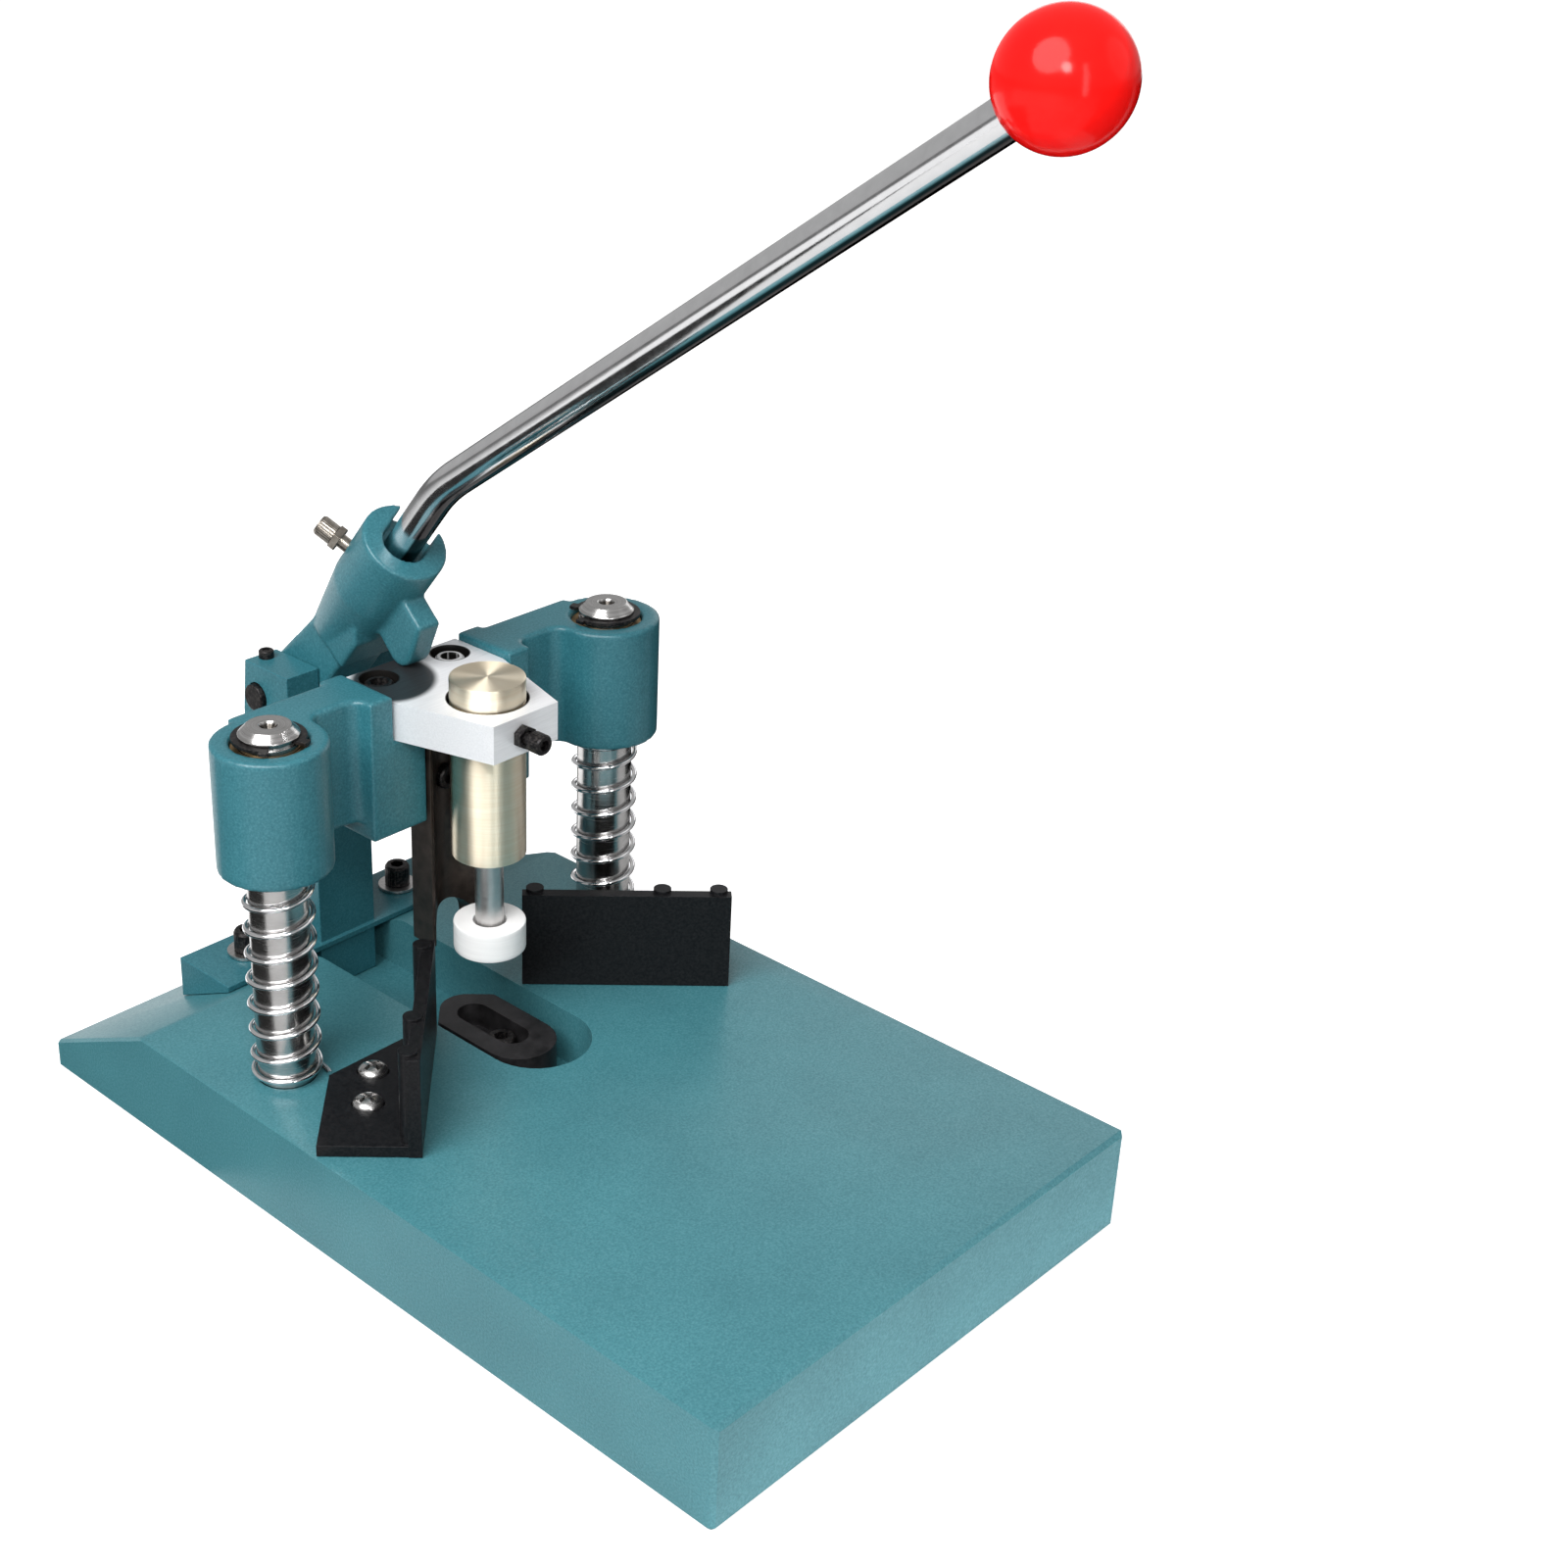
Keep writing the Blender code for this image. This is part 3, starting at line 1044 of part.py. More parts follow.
def rod_clamp():
    """The bolt that pinches the bar in its socket, and its lock nut."""
    out = clamp_direction()
    axis = lever_point(CLAMP_BOLT_REACH)
    nut_start = axis + out * (SOCKET_RADIUS + CLAMP_NECK)
    nut_end = nut_start + out * CLAMP_NUT
    nut = cylinder(nut_start, nut_end, CLAMP_NUT_RADIUS, 6)
    cut(nut, cylinder(nut_start - out * OVERRUN, nut_end + out * OVERRUN, CLAMP_BOLT_RADIUS + GAP))
    finish(nut, "clamp_lock_nut", STEEL)
    seat = nut_end + out * GAP
    length = (seat - axis).length - LEVER_ROD_RADIUS - GAP
    bolt = socket_cap(seat, out, CLAMP_HEAD_RADIUS, CLAMP_HEAD, CLAMP_BOLT_RADIUS, length)
    finish(bolt, "rod_clamp_bolt", STEEL)
    return nut, bolt


def hang_on(name, spot, pieces):
    """Parents pieces to an empty on their joint's axis, without moving them."""
    empty = bpy.data.objects.new(name, None)
    PARTS.objects.link(empty)
    empty.location = place(*spot)
    bpy.context.view_layer.update()
    for piece in pieces:
        piece.parent = empty
        piece.matrix_parent_inverse = empty.matrix_world.inverted()


def build():
    base_casting()
    for side, x in (("left", -POST_HALF_SPAN), ("right", POST_HALF_SPAN)):
        post(side + "_post", x)
        snap_ring(side + "_snap_ring", x)
        return_spring(side + "_return_spring", x)
        bushing(side + "_bushing", x)
    lower_die()
    die_screw()
    pedestal_casting()
    pivot_pieces()
    pedestal_screws()
    for side, side_sign in (("left", -1), ("right", 1)):
        fence(side + "_fence", side_sign)
        for spot, where in zip(fence_screw_spots(side_sign), ("rear", "front")):
            fence_screw(side + "_fence_screw_" + where, spot)
    head_casting()
    blade()
    blade_screws()
    clamp_block()
    block_screws()
    sleeve_lock_screw()
    presser_sleeve()
    sleeve_cap()
    presser_rod()
    presser_foot()
    presser_spring()
    lever_pieces = [lever_casting(), lever_rod(), ball_knob(), *rod_clamp()]
    hang_on("lever_pivot", PIVOT, lever_pieces)


build()
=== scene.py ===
import math

import bmesh
import bpy
from mathutils import Matrix, Vector


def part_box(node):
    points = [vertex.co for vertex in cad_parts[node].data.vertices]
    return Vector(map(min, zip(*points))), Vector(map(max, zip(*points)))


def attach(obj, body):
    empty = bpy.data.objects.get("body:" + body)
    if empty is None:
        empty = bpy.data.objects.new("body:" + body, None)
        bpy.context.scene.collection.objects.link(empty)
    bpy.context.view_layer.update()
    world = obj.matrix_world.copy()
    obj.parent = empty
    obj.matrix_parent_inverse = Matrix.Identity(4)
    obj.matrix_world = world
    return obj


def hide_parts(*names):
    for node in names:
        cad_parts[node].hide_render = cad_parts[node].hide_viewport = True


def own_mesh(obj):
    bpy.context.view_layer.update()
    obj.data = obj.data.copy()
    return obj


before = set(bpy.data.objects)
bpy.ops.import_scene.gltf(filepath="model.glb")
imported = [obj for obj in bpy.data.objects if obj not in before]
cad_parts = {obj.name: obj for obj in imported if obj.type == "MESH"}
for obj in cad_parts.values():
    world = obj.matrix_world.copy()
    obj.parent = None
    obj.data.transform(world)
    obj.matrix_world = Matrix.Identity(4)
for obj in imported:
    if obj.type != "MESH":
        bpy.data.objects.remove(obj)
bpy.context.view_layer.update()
scene = bpy.context.scene
scene.view_settings.view_transform = "Standard"


# The floor is one white sheet. It shows as plain white and still takes the machine's
# soft shadow.
FLOOR_SPAN = 12.0
FLOOR_DROP = 0.0002
FLOOR_GREY = 0.55
FLOOR_GLOW = 0.92


def mesh_piece(name, points, faces):
    """A new piece from plain points and faces, with its object at the origin."""
    mesh = bpy.data.meshes.new(name)
    mesh.from_pydata([tuple(point) for point in points], [], faces)
    mesh.validate()
    piece = bpy.data.objects.new(name, mesh)
    scene.collection.objects.link(piece)
    return piece


def new_material(name):
    """An empty material."""
    material = bpy.data.materials.new(name)
    material.use_nodes = True
    material.node_tree.nodes.clear()
    return material


def feed(tree, socket, value):
    """Gives an input a link from another node's output, or a plain value."""
    if isinstance(value, bpy.types.NodeSocket):
        tree.links.new(value, socket)
    else:
        socket.default_value = value


def connect(tree, node, **inputs):
    """Feeds a node's inputs by name, with underscores for the spaces."""
    for name, value in inputs.items():
        feed(tree, node.inputs[name.replace("_", " ")], value)
    return node


def add(tree, kind, settings=None, **inputs):
    """A new node with its settings and its inputs."""
    node = tree.nodes.new(kind)
    for name, value in (settings or {}).items():
        setattr(node, name, value)
    return connect(tree, node, **inputs)


def by_ray(tree, ray, others, these):
    """One shader for one kind of ray, such as the camera's, and another for all others."""
    path = add(tree, "ShaderNodeLightPath")
    choice = add(tree, "ShaderNodeMixShader", Fac=path.outputs[ray])
    tree.links.new(others.outputs[0], choice.inputs[1])
    tree.links.new(these.outputs[0], choice.inputs[2])
    return choice


white_sheet = new_material("white floor sheet")
tree = white_sheet.node_tree
paper = add(tree, "ShaderNodeBsdfDiffuse", Color=(FLOOR_GREY, FLOOR_GREY, FLOOR_GREY, 1))
dark = add(tree, "ShaderNodeEmission", Strength=0.0)
glow = add(tree, "ShaderNodeEmission", Color=(1, 1, 1, 1), Strength=FLOOR_GLOW)
both = add(tree, "ShaderNodeAddShader")
tree.links.new(paper.outputs[0], both.inputs[0])
tree.links.new(by_ray(tree, "Is Camera Ray", dark, glow).outputs[0], both.inputs[1])
add(tree, "ShaderNodeOutputMaterial", Surface=both.outputs[0])

corners = [(x * FLOOR_SPAN, y * FLOOR_SPAN, -FLOOR_DROP)
           for x, y in ((-1, -1), (1, -1), (1, 1), (-1, 1))]
floor = mesh_piece("floor", corners, [(0, 1, 2, 3)])
floor.data.materials.append(white_sheet)


# Studio light: an even pale surround, one broad lamp from the upper left, a weak one from
# the right and a small one over the camera, for the spark in the ball. The cards show
# only in polished metal and lacquer, as in a real studio. The bounce card only lights.
SURROUND = 0.26
MIRRORED = 0.42
AIM = Vector((0, 0.02, 0.12))
# Each lamp's place, power and width.
LAMPS = {"key_lamp": ((-0.9, -0.15, 1.15), 28.8, 1.2),
         "side_lamp": ((0.7, -0.9, 0.8), 1.0, 0.9),
         "spark_lamp": ((-0.40, -0.43, 0.62), 1.6, 0.14)}
CARD_STEPS = 8

world = bpy.data.worlds.new("pale surround")
scene.world = world
world.use_nodes = True
tree = world.node_tree
tree.nodes.clear()
lit, mirrored, plain = [add(tree, "ShaderNodeBackground", Color=(1, 1, 1, 1), Strength=strength)
                        for strength in (SURROUND, MIRRORED, 1.0)]
in_metal = by_ray(tree, "Is Glossy Ray", lit, mirrored)
seen = by_ray(tree, "Is Camera Ray", in_metal, plain)
add(tree, "ShaderNodeOutputWorld", Surface=seen.outputs[0])

for name, (place, power, width) in LAMPS.items():
    lamp = bpy.data.lights.new(name, "AREA")
    lamp.shape = "DISK"
    lamp.energy = power
    lamp.size = width
    item = bpy.data.objects.new(name, lamp)
    scene.collection.objects.link(item)
    item.location = place
    item.rotation_euler = (AIM - Vector(place)).to_track_quat("-Z", "Y").to_euler()


def card_tone(name, strength):
    """A card's even glow."""
    material = new_material(name)
    tree = material.node_tree
    glow = add(tree, "ShaderNodeEmission", Strength=strength)
    add(tree, "ShaderNodeOutputMaterial", Surface=glow.outputs[0])
    return material


def studio_card(name, corners, tone, lights=False):
    """A flat card that only shiny surfaces show, or one that only throws soft light."""
    card = mesh_piece(name, corners, [tuple(range(len(corners)))])
    card.data.materials.append(tone)
    card.visible_camera = False
    card.visible_diffuse = lights
    card.visible_glossy = not lights
    card.visible_shadow = False
    card.visible_transmission = False


def floor_card(name, near, far, start, end, tone):
    """A card on the floor: part of a ring about the machine, from one bearing to another."""
    bearings = [math.radians(start + (end - start) * step / CARD_STEPS)
                for step in range(CARD_STEPS + 1)]
    corners = [(distance * math.cos(bearing), distance * math.sin(bearing), 0.0)
               for distance, order in ((near, 1), (far, -1)) for bearing in bearings[::order]]
    studio_card(name, corners, tone)


def standing_card(name, start, end, low, high, tone):
    """An upright card from one place on the floor plan to another."""
    studio_card(name, [(*start, low), (*end, low), (*end, high), (*start, high)], tone)


card_black = card_tone("black studio card", 0.0)
card_dark = card_tone("dark grey studio card", 0.03)
card_pale = card_tone("pale studio card", 0.53)
card_white = card_tone("white studio card", 1.0)
card_bright = card_tone("bright studio card", 1.5)
card_lit = card_tone("lit studio card", 3.6)
card_strip = card_tone("bright strip card", 7.0)
base_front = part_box("base_casting")[0].y
left, right, near, far = -0.13, 0.16, base_front - 0.15, base_front - 0.002
before_base = [(left, near, 0), (right, near, 0), (right, far, 0), (left, far, 0)]
studio_card("bounce_card", before_base, card_lit, True)
studio_card("pale_card", before_base, card_pale)
floor_card("front_card", 0.36, 3.0, 270, 334, card_black)
floor_card("far_card", 0.24, 3.0, 345, 425, card_black)
floor_card("left_card", 0.60, 1.8, 135, 215, card_white)
floor_card("left_dark_card", 0.13, 0.55, 112, 168, card_dark)
floor_card("rear_card", 0.16, 1.2, 68, 110, card_bright)
standing_card("front_strip", (-0.46, -1.00), (-0.34, -1.05), 0.15, 0.95, card_strip)
standing_card("sheen_card", (0.75, 0.60), (1.05, 0.10), 0.25, 0.65, card_bright)


# The camera looks down on the machine over its left front corner, from about 0.8 m.
CAMERA_PLACE = (-0.4619, -0.4611, 0.4691)
CAMERA_TURN = Vector((1.90144456, -0.78111346, 0.50807868))
CAMERA_LENS = 51.877
CAMERA_SHIFT = (0.11863, -0.020675)
SENSOR_WIDTH = 36.0

eye = bpy.data.cameras.new("camera")
eye.sensor_width = SENSOR_WIDTH
eye.lens = CAMERA_LENS
eye.shift_x, eye.shift_y = CAMERA_SHIFT
camera = bpy.data.objects.new("camera", eye)
scene.collection.objects.link(camera)
to_camera = Matrix.Rotation(CAMERA_TURN.length, 3, CAMERA_TURN.normalized())
flip = Matrix.Diagonal((1, -1, -1))
camera.rotation_mode = "QUATERNION"
camera.rotation_quaternion = (flip @ to_camera).transposed().to_quaternion()
camera.location = CAMERA_PLACE
scene.camera = camera


# Base casting: grey iron, ground flat on the table, sprayed with teal hammered enamel.
# The enamel beads a little. The base's copy is paler than the rest: painted light on the base.
PLAIN_TEAL = ((0.015, 0.103, 0.132, 1), (0.025, 0.137, 0.170, 1), (0.050, 0.187, 0.224, 1))
LIT_BASE_TEAL = ((0.033, 0.140, 0.167, 1), (0.047, 0.181, 0.212, 1), (0.080, 0.232, 0.266, 1))
BEAD_STOPS = (0.25, 0.50, 0.78)
BEAD_DEPTH = 0.00012
FINE_DEPTH = 0.0001
CAST_EDGE = 0.0012
CAST_ANGLE = 24
WELD = 0.00001


def shader_of(name, colour, roughness, metallic=0.0):
    """A material with one principled shader. Returns the material, tree and shader."""
    material = new_material(name)
    tree = material.node_tree
    shader = add(tree, "ShaderNodeBsdfPrincipled", Base_Color=colour, Roughness=roughness,
                 Metallic=metallic)
    add(tree, "ShaderNodeOutputMaterial", Surface=shader.outputs["BSDF"])
    return material, tree, shader


def pattern(tree, scale, detail=3.0, stretch=(1, 1, 1), centre=(0, 0, 0)):
    """Soft noise fixed to the piece, in its own metres."""
    spot = add(tree, "ShaderNodeTexCoord")
    moved = add(tree, "ShaderNodeMapping", {"vector_type": "POINT"}, Vector=spot.outputs["Object"],
                Location=[-c * s for c, s in zip(centre, stretch)], Scale=stretch)
    noise = add(tree, "ShaderNodeTexNoise", Vector=moved.outputs[0], Scale=scale, Detail=detail,
                Roughness=0.6)
    return noise.outputs["Fac"]


def shades(tree, factor, stops):
    """A colour for each height of a pattern."""
    ramp = add(tree, "ShaderNodeValToRGB", Fac=factor)
    while len(ramp.color_ramp.elements) < len(stops):
        ramp.color_ramp.elements.new(0.5)
    for element, (place, colour) in zip(ramp.color_ramp.elements, stops):
        element.position = place
        element.color = colour
    return ramp.outputs["Color"]


def two_tone(tree, factor, dark, pale, low=0.3, high=0.7):
    """Two colours that run into each other with a pattern."""
    return shades(tree, factor, [(low, dark), (high, pale)])


def between(tree, factor, low, high):
    """A pattern spread from one number to another."""
    spread = add(tree, "ShaderNodeMapRange", Value=factor, From_Min=0.3, From_Max=0.7,
                 To_Min=low, To_Max=high)
    return spread.outputs["Result"]


def raise_bumps(tree, shader, factor, strength, depth=FINE_DEPTH):
    """A pattern's fine relief."""
    bump = add(tree, "ShaderNodeBump", Height=factor, Strength=strength, Distance=depth)
    connect(tree, shader, Normal=bump.outputs["Normal"])


def blended(tree, way, factor, one, two):
    """Two colours blended in one of the mix node's ways."""
    blend = add(tree, "ShaderNodeMix", {"data_type": "RGBA", "blend_type": way})
    for place, value in ((0, factor), (6, one), (7, two)):
        feed(tree, blend.inputs[place], value)
    return blend.outputs[2]


def hammered_enamel(name, tones):
    """Beads in three tones, under a soft cloud of lighter and darker paint."""
    material, tree, shader = shader_of(name, tones[1], 0.38)
    beads = pattern(tree, 1300.0, 2.0)
    base = shades(tree, beads, list(zip(BEAD_STOPS, tones)))
    cloud = two_tone(tree, pattern(tree, 28.0, 2.0), (0.92, 0.93, 0.93, 1), (1.06, 1.05, 1.04, 1))
    connect(tree, shader, Base_Color=blended(tree, "MULTIPLY", 1.0, base, cloud),
            Roughness=between(tree, beads, 0.42, 0.32))
    raise_bumps(tree, shader, beads, 0.12, BEAD_DEPTH)
    return material


enamel = hammered_enamel("teal hammered enamel", PLAIN_TEAL)
# A paler copy of the enamel for the base, as painted light.
lit_base_enamel = hammered_enamel("lit teal enamel of the base", LIT_BASE_TEAL)


def copied(node, name):
    """A fresh piece in the solid's shape, with its doubled corners merged and its flat
    faces made whole."""
    bm = bmesh.new()
    bm.from_mesh(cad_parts[node].data)
    bmesh.ops.remove_doubles(bm, verts=bm.verts, dist=WELD)
    bmesh.ops.dissolve_limit(bm, angle_limit=math.radians(0.5), verts=bm.verts, edges=bm.edges)
    bm.verts.ensure_lookup_table()
    points = [vert.co.copy() for vert in bm.verts]
    faces = [[vert.index for vert in face.verts] for face in bm.faces]
    bm.free()
    return mesh_piece(name, points, faces)


def ease(piece, width, steps=3, angle=30):
    """Rounds a piece's sharp edges by a small width."""
    rounding = piece.modifiers.new("eased edges", "BEVEL")
    rounding.width = width
    rounding.segments = steps
    rounding.limit_method = "ANGLE"
    rounding.angle_limit = math.radians(angle)
    rounding.harden_normals = True
    rounding.miter_outer = "MITER_ARC"
    piece.data.shade_smooth()
    return piece


def settled(piece):
    """Makes the piece's modifiers part of its mesh."""
    bpy.context.view_layer.update()
    graph = bpy.context.evaluated_depsgraph_get()
    mesh = bpy.data.meshes.new_from_object(piece.evaluated_get(graph))
    piece.modifiers.clear()
    piece.data = mesh
    return piece


def fit(piece, material, body, slot, *nodes):
    """Paints the piece, lets it ride on its body and stands it in for its solids."""
    piece.data.materials.clear()
    piece.data.materials.append(material)
    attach(piece, body)
    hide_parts(*nodes)
    return piece


def stand_in(node, name, width, steps, material, body, slot, angle=30):
    """A piece in the solid's own shape with eased edges, in the solid's place."""
    return fit(ease(copied(node, name), width, steps, angle), material, body, slot, node)


stand_in("base_casting", "cast_base", CAST_EDGE, 3, lit_base_enamel, "frame", "teal_paint", CAST_ANGLE)


# Two ground steel posts, each with a chamfered end, a centre hole from the lathe and a
# spring ring in a groove, which stops the head from coming off.
POST_CHAMFER = 0.0026
CENTRE_HOLE = 0.0031
DRILLED = CENTRE_HOLE * 0.4
DRILL_TIP, DRILL_FOOT, DRILL_CONE = 0.0064, 0.0058, 0.0032
GROOVE_DEPTH = 0.0011
# The gap between parts that run in or sit in each other.
PLAY = 0.0003
# Painted shade in a post's centre hole: dark inside the first radius, gone past the second.
HOLE_SHADE_EDGE = (0.0024, 0.0031)
HOLE_SHADE = (0.05, 0.045, 0.04, 1)
# A stretch so great that height doesn't count.
FLAT = 1e6
TURNED_SIDES = 96
TURNED_ANGLE = 40


def round_box(node):
    """A round solid's two corners, its centre and its radius."""
    low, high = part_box(node)
    return low, high, (low + high) / 2, (high.x - low.x) / 2


def upright_at(centre):
    """The place of a turned piece whose axis stands over a centre."""
    return Matrix.Translation((centre.x, centre.y, 0))


def smoothed(piece, angle):
    """Smooth shading, but for edges sharper than an angle in degrees."""
    piece.data.shade_smooth()
    piece.data.set_sharp_from_angle(angle=math.radians(angle))
    return piece


def turned(name, profile, place, steps=TURNED_SIDES, soft=0.0):
    """A lathe-turned piece: (radius, height) pairs from the top of the axis to its foot,
    with corners softened, put in place by a matrix."""
    line = [Vector(pair) for pair in profile]
    if soft:
        rounded = [line[0]]
        for before, here, after in zip(line, line[1:], line[2:]):
            one = min(soft, (before - here).length * 0.45)
            two = min(soft, (after - here).length * 0.45)
            start = here + (before - here).normalized() * one
            end = here + (after - here).normalized() * two
            corner = start.lerp(here, 0.6).lerp(here.lerp(end, 0.4), 0.5)
            rounded += [start.lerp(before, 0.08), start, corner, end, end.lerp(after, 0.08)]
        line = rounded + [line[-1]]
    points = []
    rings = []
    for radius, height in line:
        if radius < WELD:
            rings.append([len(points)])
            points.append(place @ Vector((0, 0, height)))
            continue
        rings.append(list(range(len(points), len(points) + steps)))
        for step in range(steps):
            angle = 2 * math.pi * step / steps
            across = Vector((radius * math.cos(angle), radius * math.sin(angle), height))
            points.append(place @ across)
    faces = []
    for upper, lower in zip(rings, rings[1:]):
        for step in range(steps):
            after = (step + 1) % steps
            if len(upper) == 1:
                faces.append((upper[0], lower[step], lower[after]))
            elif len(lower) == 1:
                faces.append((upper[step], lower[0], upper[after]))
            else:
                faces.append((upper[step], lower[step], lower[after], upper[after]))
    if len(rings[0]) > 1 and line[0] == line[-1]:
        last = len(points) - steps
        faces = [[corner - last if corner >= last else corner for corner in face] for face in faces]
        points = points[:-steps]
    return smoothed(mesh_piece(name, points, faces), TURNED_ANGLE)


def from_axis(tree, centre, turn=0.0, stretch=1.0):
    """The distance from an upright axis through a place, stretched along one direction."""
    spot = add(tree, "ShaderNodeTexCoord")
    flat = add(tree, "ShaderNodeMapping", {"vector_type": "TEXTURE"}, Vector=spot.outputs["Object"],
               Scale=(stretch, 1, FLAT), Location=(centre[0], centre[1], 0), Rotation=(0, 0, turn))
    length = add(tree, "ShaderNodeVectorMath", {"operation": "LENGTH"}, Vector=flat.outputs[0])
    return length.outputs["Value"]


def calc(tree, operation, *terms):
    """One arithmetic step between numbers or sockets."""
    step = add(tree, "ShaderNodeMath", {"operation": operation})
    for socket, term in zip(step.inputs, terms):
        feed(tree, socket, term)
    return step.outputs[0]


def faded(tree, value, start, end, before, after):
    """One colour up to a number, then softly another."""
    step = add(tree, "ShaderNodeMapRange", {"interpolation_type": "SMOOTHSTEP"}, Value=value,
               From_Min=start, From_Max=end)
    return blended(tree, "MIX", step.outputs["Result"], before, after)


def ground_steel(name, centre, roughness=0.20):
    """Round bar as it leaves the grinder, with fine rings about its axis. Its end is
    turned in circles, and the hole in the middle is painted dark as painted shade."""
    material, tree, shader = shader_of(name, (0.56, 0.555, 0.55, 1), roughness, 1.0)
    rings = pattern(tree, 60.0, 3.0, (1, 1, 60), centre)
    out = from_axis(tree, centre)
    circles = add(tree, "ShaderNodeTexNoise", {"noise_dimensions": "1D"}, W=out, Scale=1500.0,
                  Detail=2.0)
    half = calc(tree, "MULTIPLY", circles.outputs["Fac"], 0.5)
    mixed = calc(tree, "MULTIPLY_ADD", pattern(tree, 120.0, 3.0), 0.5, half)
    tone = two_tone(tree, mixed, (0.40, 0.39, 0.38, 1), (0.66, 0.65, 0.645, 1))
    connect(tree, shader, Base_Color=faded(tree, out, *HOLE_SHADE_EDGE, HOLE_SHADE, tone),
            Roughness=between(tree, rings, roughness * 0.8, roughness * 1.4))
    raise_bumps(tree, shader, rings, 0.10)
    return material


def black_oxide(name):
    """Screws and rings with a thin blackened skin, a little worn to grey."""
    material, tree, shader = shader_of(name, (0.018, 0.017, 0.017, 1), 0.42, 0.75)
    spots = pattern(tree, 900.0, 3.0)
    tone = two_tone(tree, spots, (0.013, 0.012, 0.013, 1), (0.075, 0.068, 0.064, 1), 0.45, 0.75)
    connect(tree, shader, Base_Color=tone, Roughness=between(tree, spots, 0.30, 0.55))
    raise_bumps(tree, shader, spots, 0.15)
    return material


blackened = black_oxide("blackened steel")
for side in ("left", "right"):
    low, high, centre, radius = round_box(side + "_post")
    ring_low, ring_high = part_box(side + "_snap_ring")
    steel = ground_steel("ground steel of the " + side + " post", centre)
    groove = radius - GROOVE_DEPTH
    groove_top, groove_foot = ring_high.z + PLAY, ring_low.z - PLAY
    profile = [(0, high.z - DRILL_TIP), (DRILLED, high.z - DRILL_FOOT),
               (DRILLED, high.z - DRILL_CONE), (CENTRE_HOLE, high.z),
               (radius - POST_CHAMFER, high.z), (radius, high.z - POST_CHAMFER),
               (radius, groove_top), (groove, groove_top), (groove, groove_foot),
               (radius, groove_foot), (radius, low.z), (0, low.z)]
    post = turned(side + "_guide_post", profile, upright_at(centre), TURNED_SIDES, 0.00025)
    fit(post, steel, "frame", "bright_steel", side + "_post")
    stand_in(side + "_snap_ring", side + "_spring_ring", 0.0002, 2, blackened, "frame",
             "black_steel")


# Return springs: hard-drawn wire, bright chromed, wound with one closed turn at each end
# and standing on the table round the posts. They lift the head. The cut end of the wire
# stands out a little at the foot.
WIRE_SIDES = 14
COIL_STEPS = 520
# The cut end runs out over one turn divided by this.
TAIL_SHARE = 14
RETURN_WIRE = 0.0009


def sums_in(tree):
    """The arithmetic steps of one tree."""
    return lambda operation, *terms: calc(tree, operation, *terms)


def shape_tree(name, numbers):
    """An empty shape tree with named number inputs, a finish and a mesh output."""
    tree = bpy.data.node_groups.new(name, "GeometryNodeTree")
    sockets = [("Geometry", "Geometry"), *((number, "Float") for number in numbers),
               ("Finish", "Material")]
    for label, kind in sockets:
        tree.interface.new_socket(label, in_out="INPUT", socket_type="NodeSocket" + kind)
    tree.interface.new_socket("Geometry", in_out="OUTPUT", socket_type="NodeSocketGeometry")
    return tree, tree.nodes.new("NodeGroupInput").outputs


def close_tree(tree, given, shape):
    """Ends a shape tree: real geometry with its finish."""
    whole = add(tree, "GeometryNodeRealizeInstances", Geometry=shape)
    painted = add(tree, "GeometryNodeSetMaterial", Geometry=whole.outputs[0],
                  Material=given["Finish"])
    output = tree.nodes.new("NodeGroupOutput")
    tree.links.new(painted.outputs[0], output.inputs[0])


def spring_tree():
    """A wound spring. Its height follows the turn it is in, so its end turns lie closed."""
    tree, given = shape_tree("wound spring", ["Mean Radius", "Wire Radius", "Low", "High", "Turns",
                                              "End Pitch", "Start Turn", "Tail"])
    do = sums_in(tree)
    line = add(tree, "GeometryNodeCurvePrimitiveLine")
    cut_up = add(tree, "GeometryNodeResampleCurve", Curve=line.outputs[0], Count=COIL_STEPS)
    along = add(tree, "GeometryNodeSplineParameter").outputs["Factor"]
    turn = do("MULTIPLY", along, given["Turns"])
    last = do("MAXIMUM", do("SUBTRACT", turn, do("SUBTRACT", given["Turns"], 1)), 0)
    closed = do("ADD", do("MINIMUM", turn, 1), last)
    room = do("SUBTRACT", do("SUBTRACT", given["High"], given["Low"]),
              do("MULTIPLY", given["End Pitch"], 2))
    pitch = do("DIVIDE", room, do("SUBTRACT", given["Turns"], 2))
    climb = do("ADD", do("MULTIPLY", given["End Pitch"], closed),
               do("MULTIPLY", pitch, do("SUBTRACT", turn, closed)))
    angle = do("MULTIPLY", do("ADD", turn, given["Start Turn"]), 2 * math.pi)
    near_end = do("MAXIMUM", do("SUBTRACT", 1, do("MULTIPLY", turn, TAIL_SHARE)), 0)
    radius = do("ADD", given["Mean Radius"], do("MULTIPLY", given["Tail"], near_end))
    place = add(tree, "ShaderNodeCombineXYZ", X=do("MULTIPLY", radius, do("COSINE", angle)),
                Y=do("MULTIPLY", radius, do("SINE", angle)), Z=do("ADD", given["Low"], climb))
    wound = add(tree, "GeometryNodeSetPosition", Geometry=cut_up.outputs[0],
                Position=place.outputs[0])
    wire = add(tree, "GeometryNodeCurvePrimitiveCircle", Radius=given["Wire Radius"],
               Resolution=WIRE_SIDES)
    swept = add(tree, "GeometryNodeCurveToMesh", Curve=wound.outputs[0],
                Profile_Curve=wire.outputs[0], Fill_Caps=True)
    close_tree(tree, given, swept.outputs[0])
    return tree


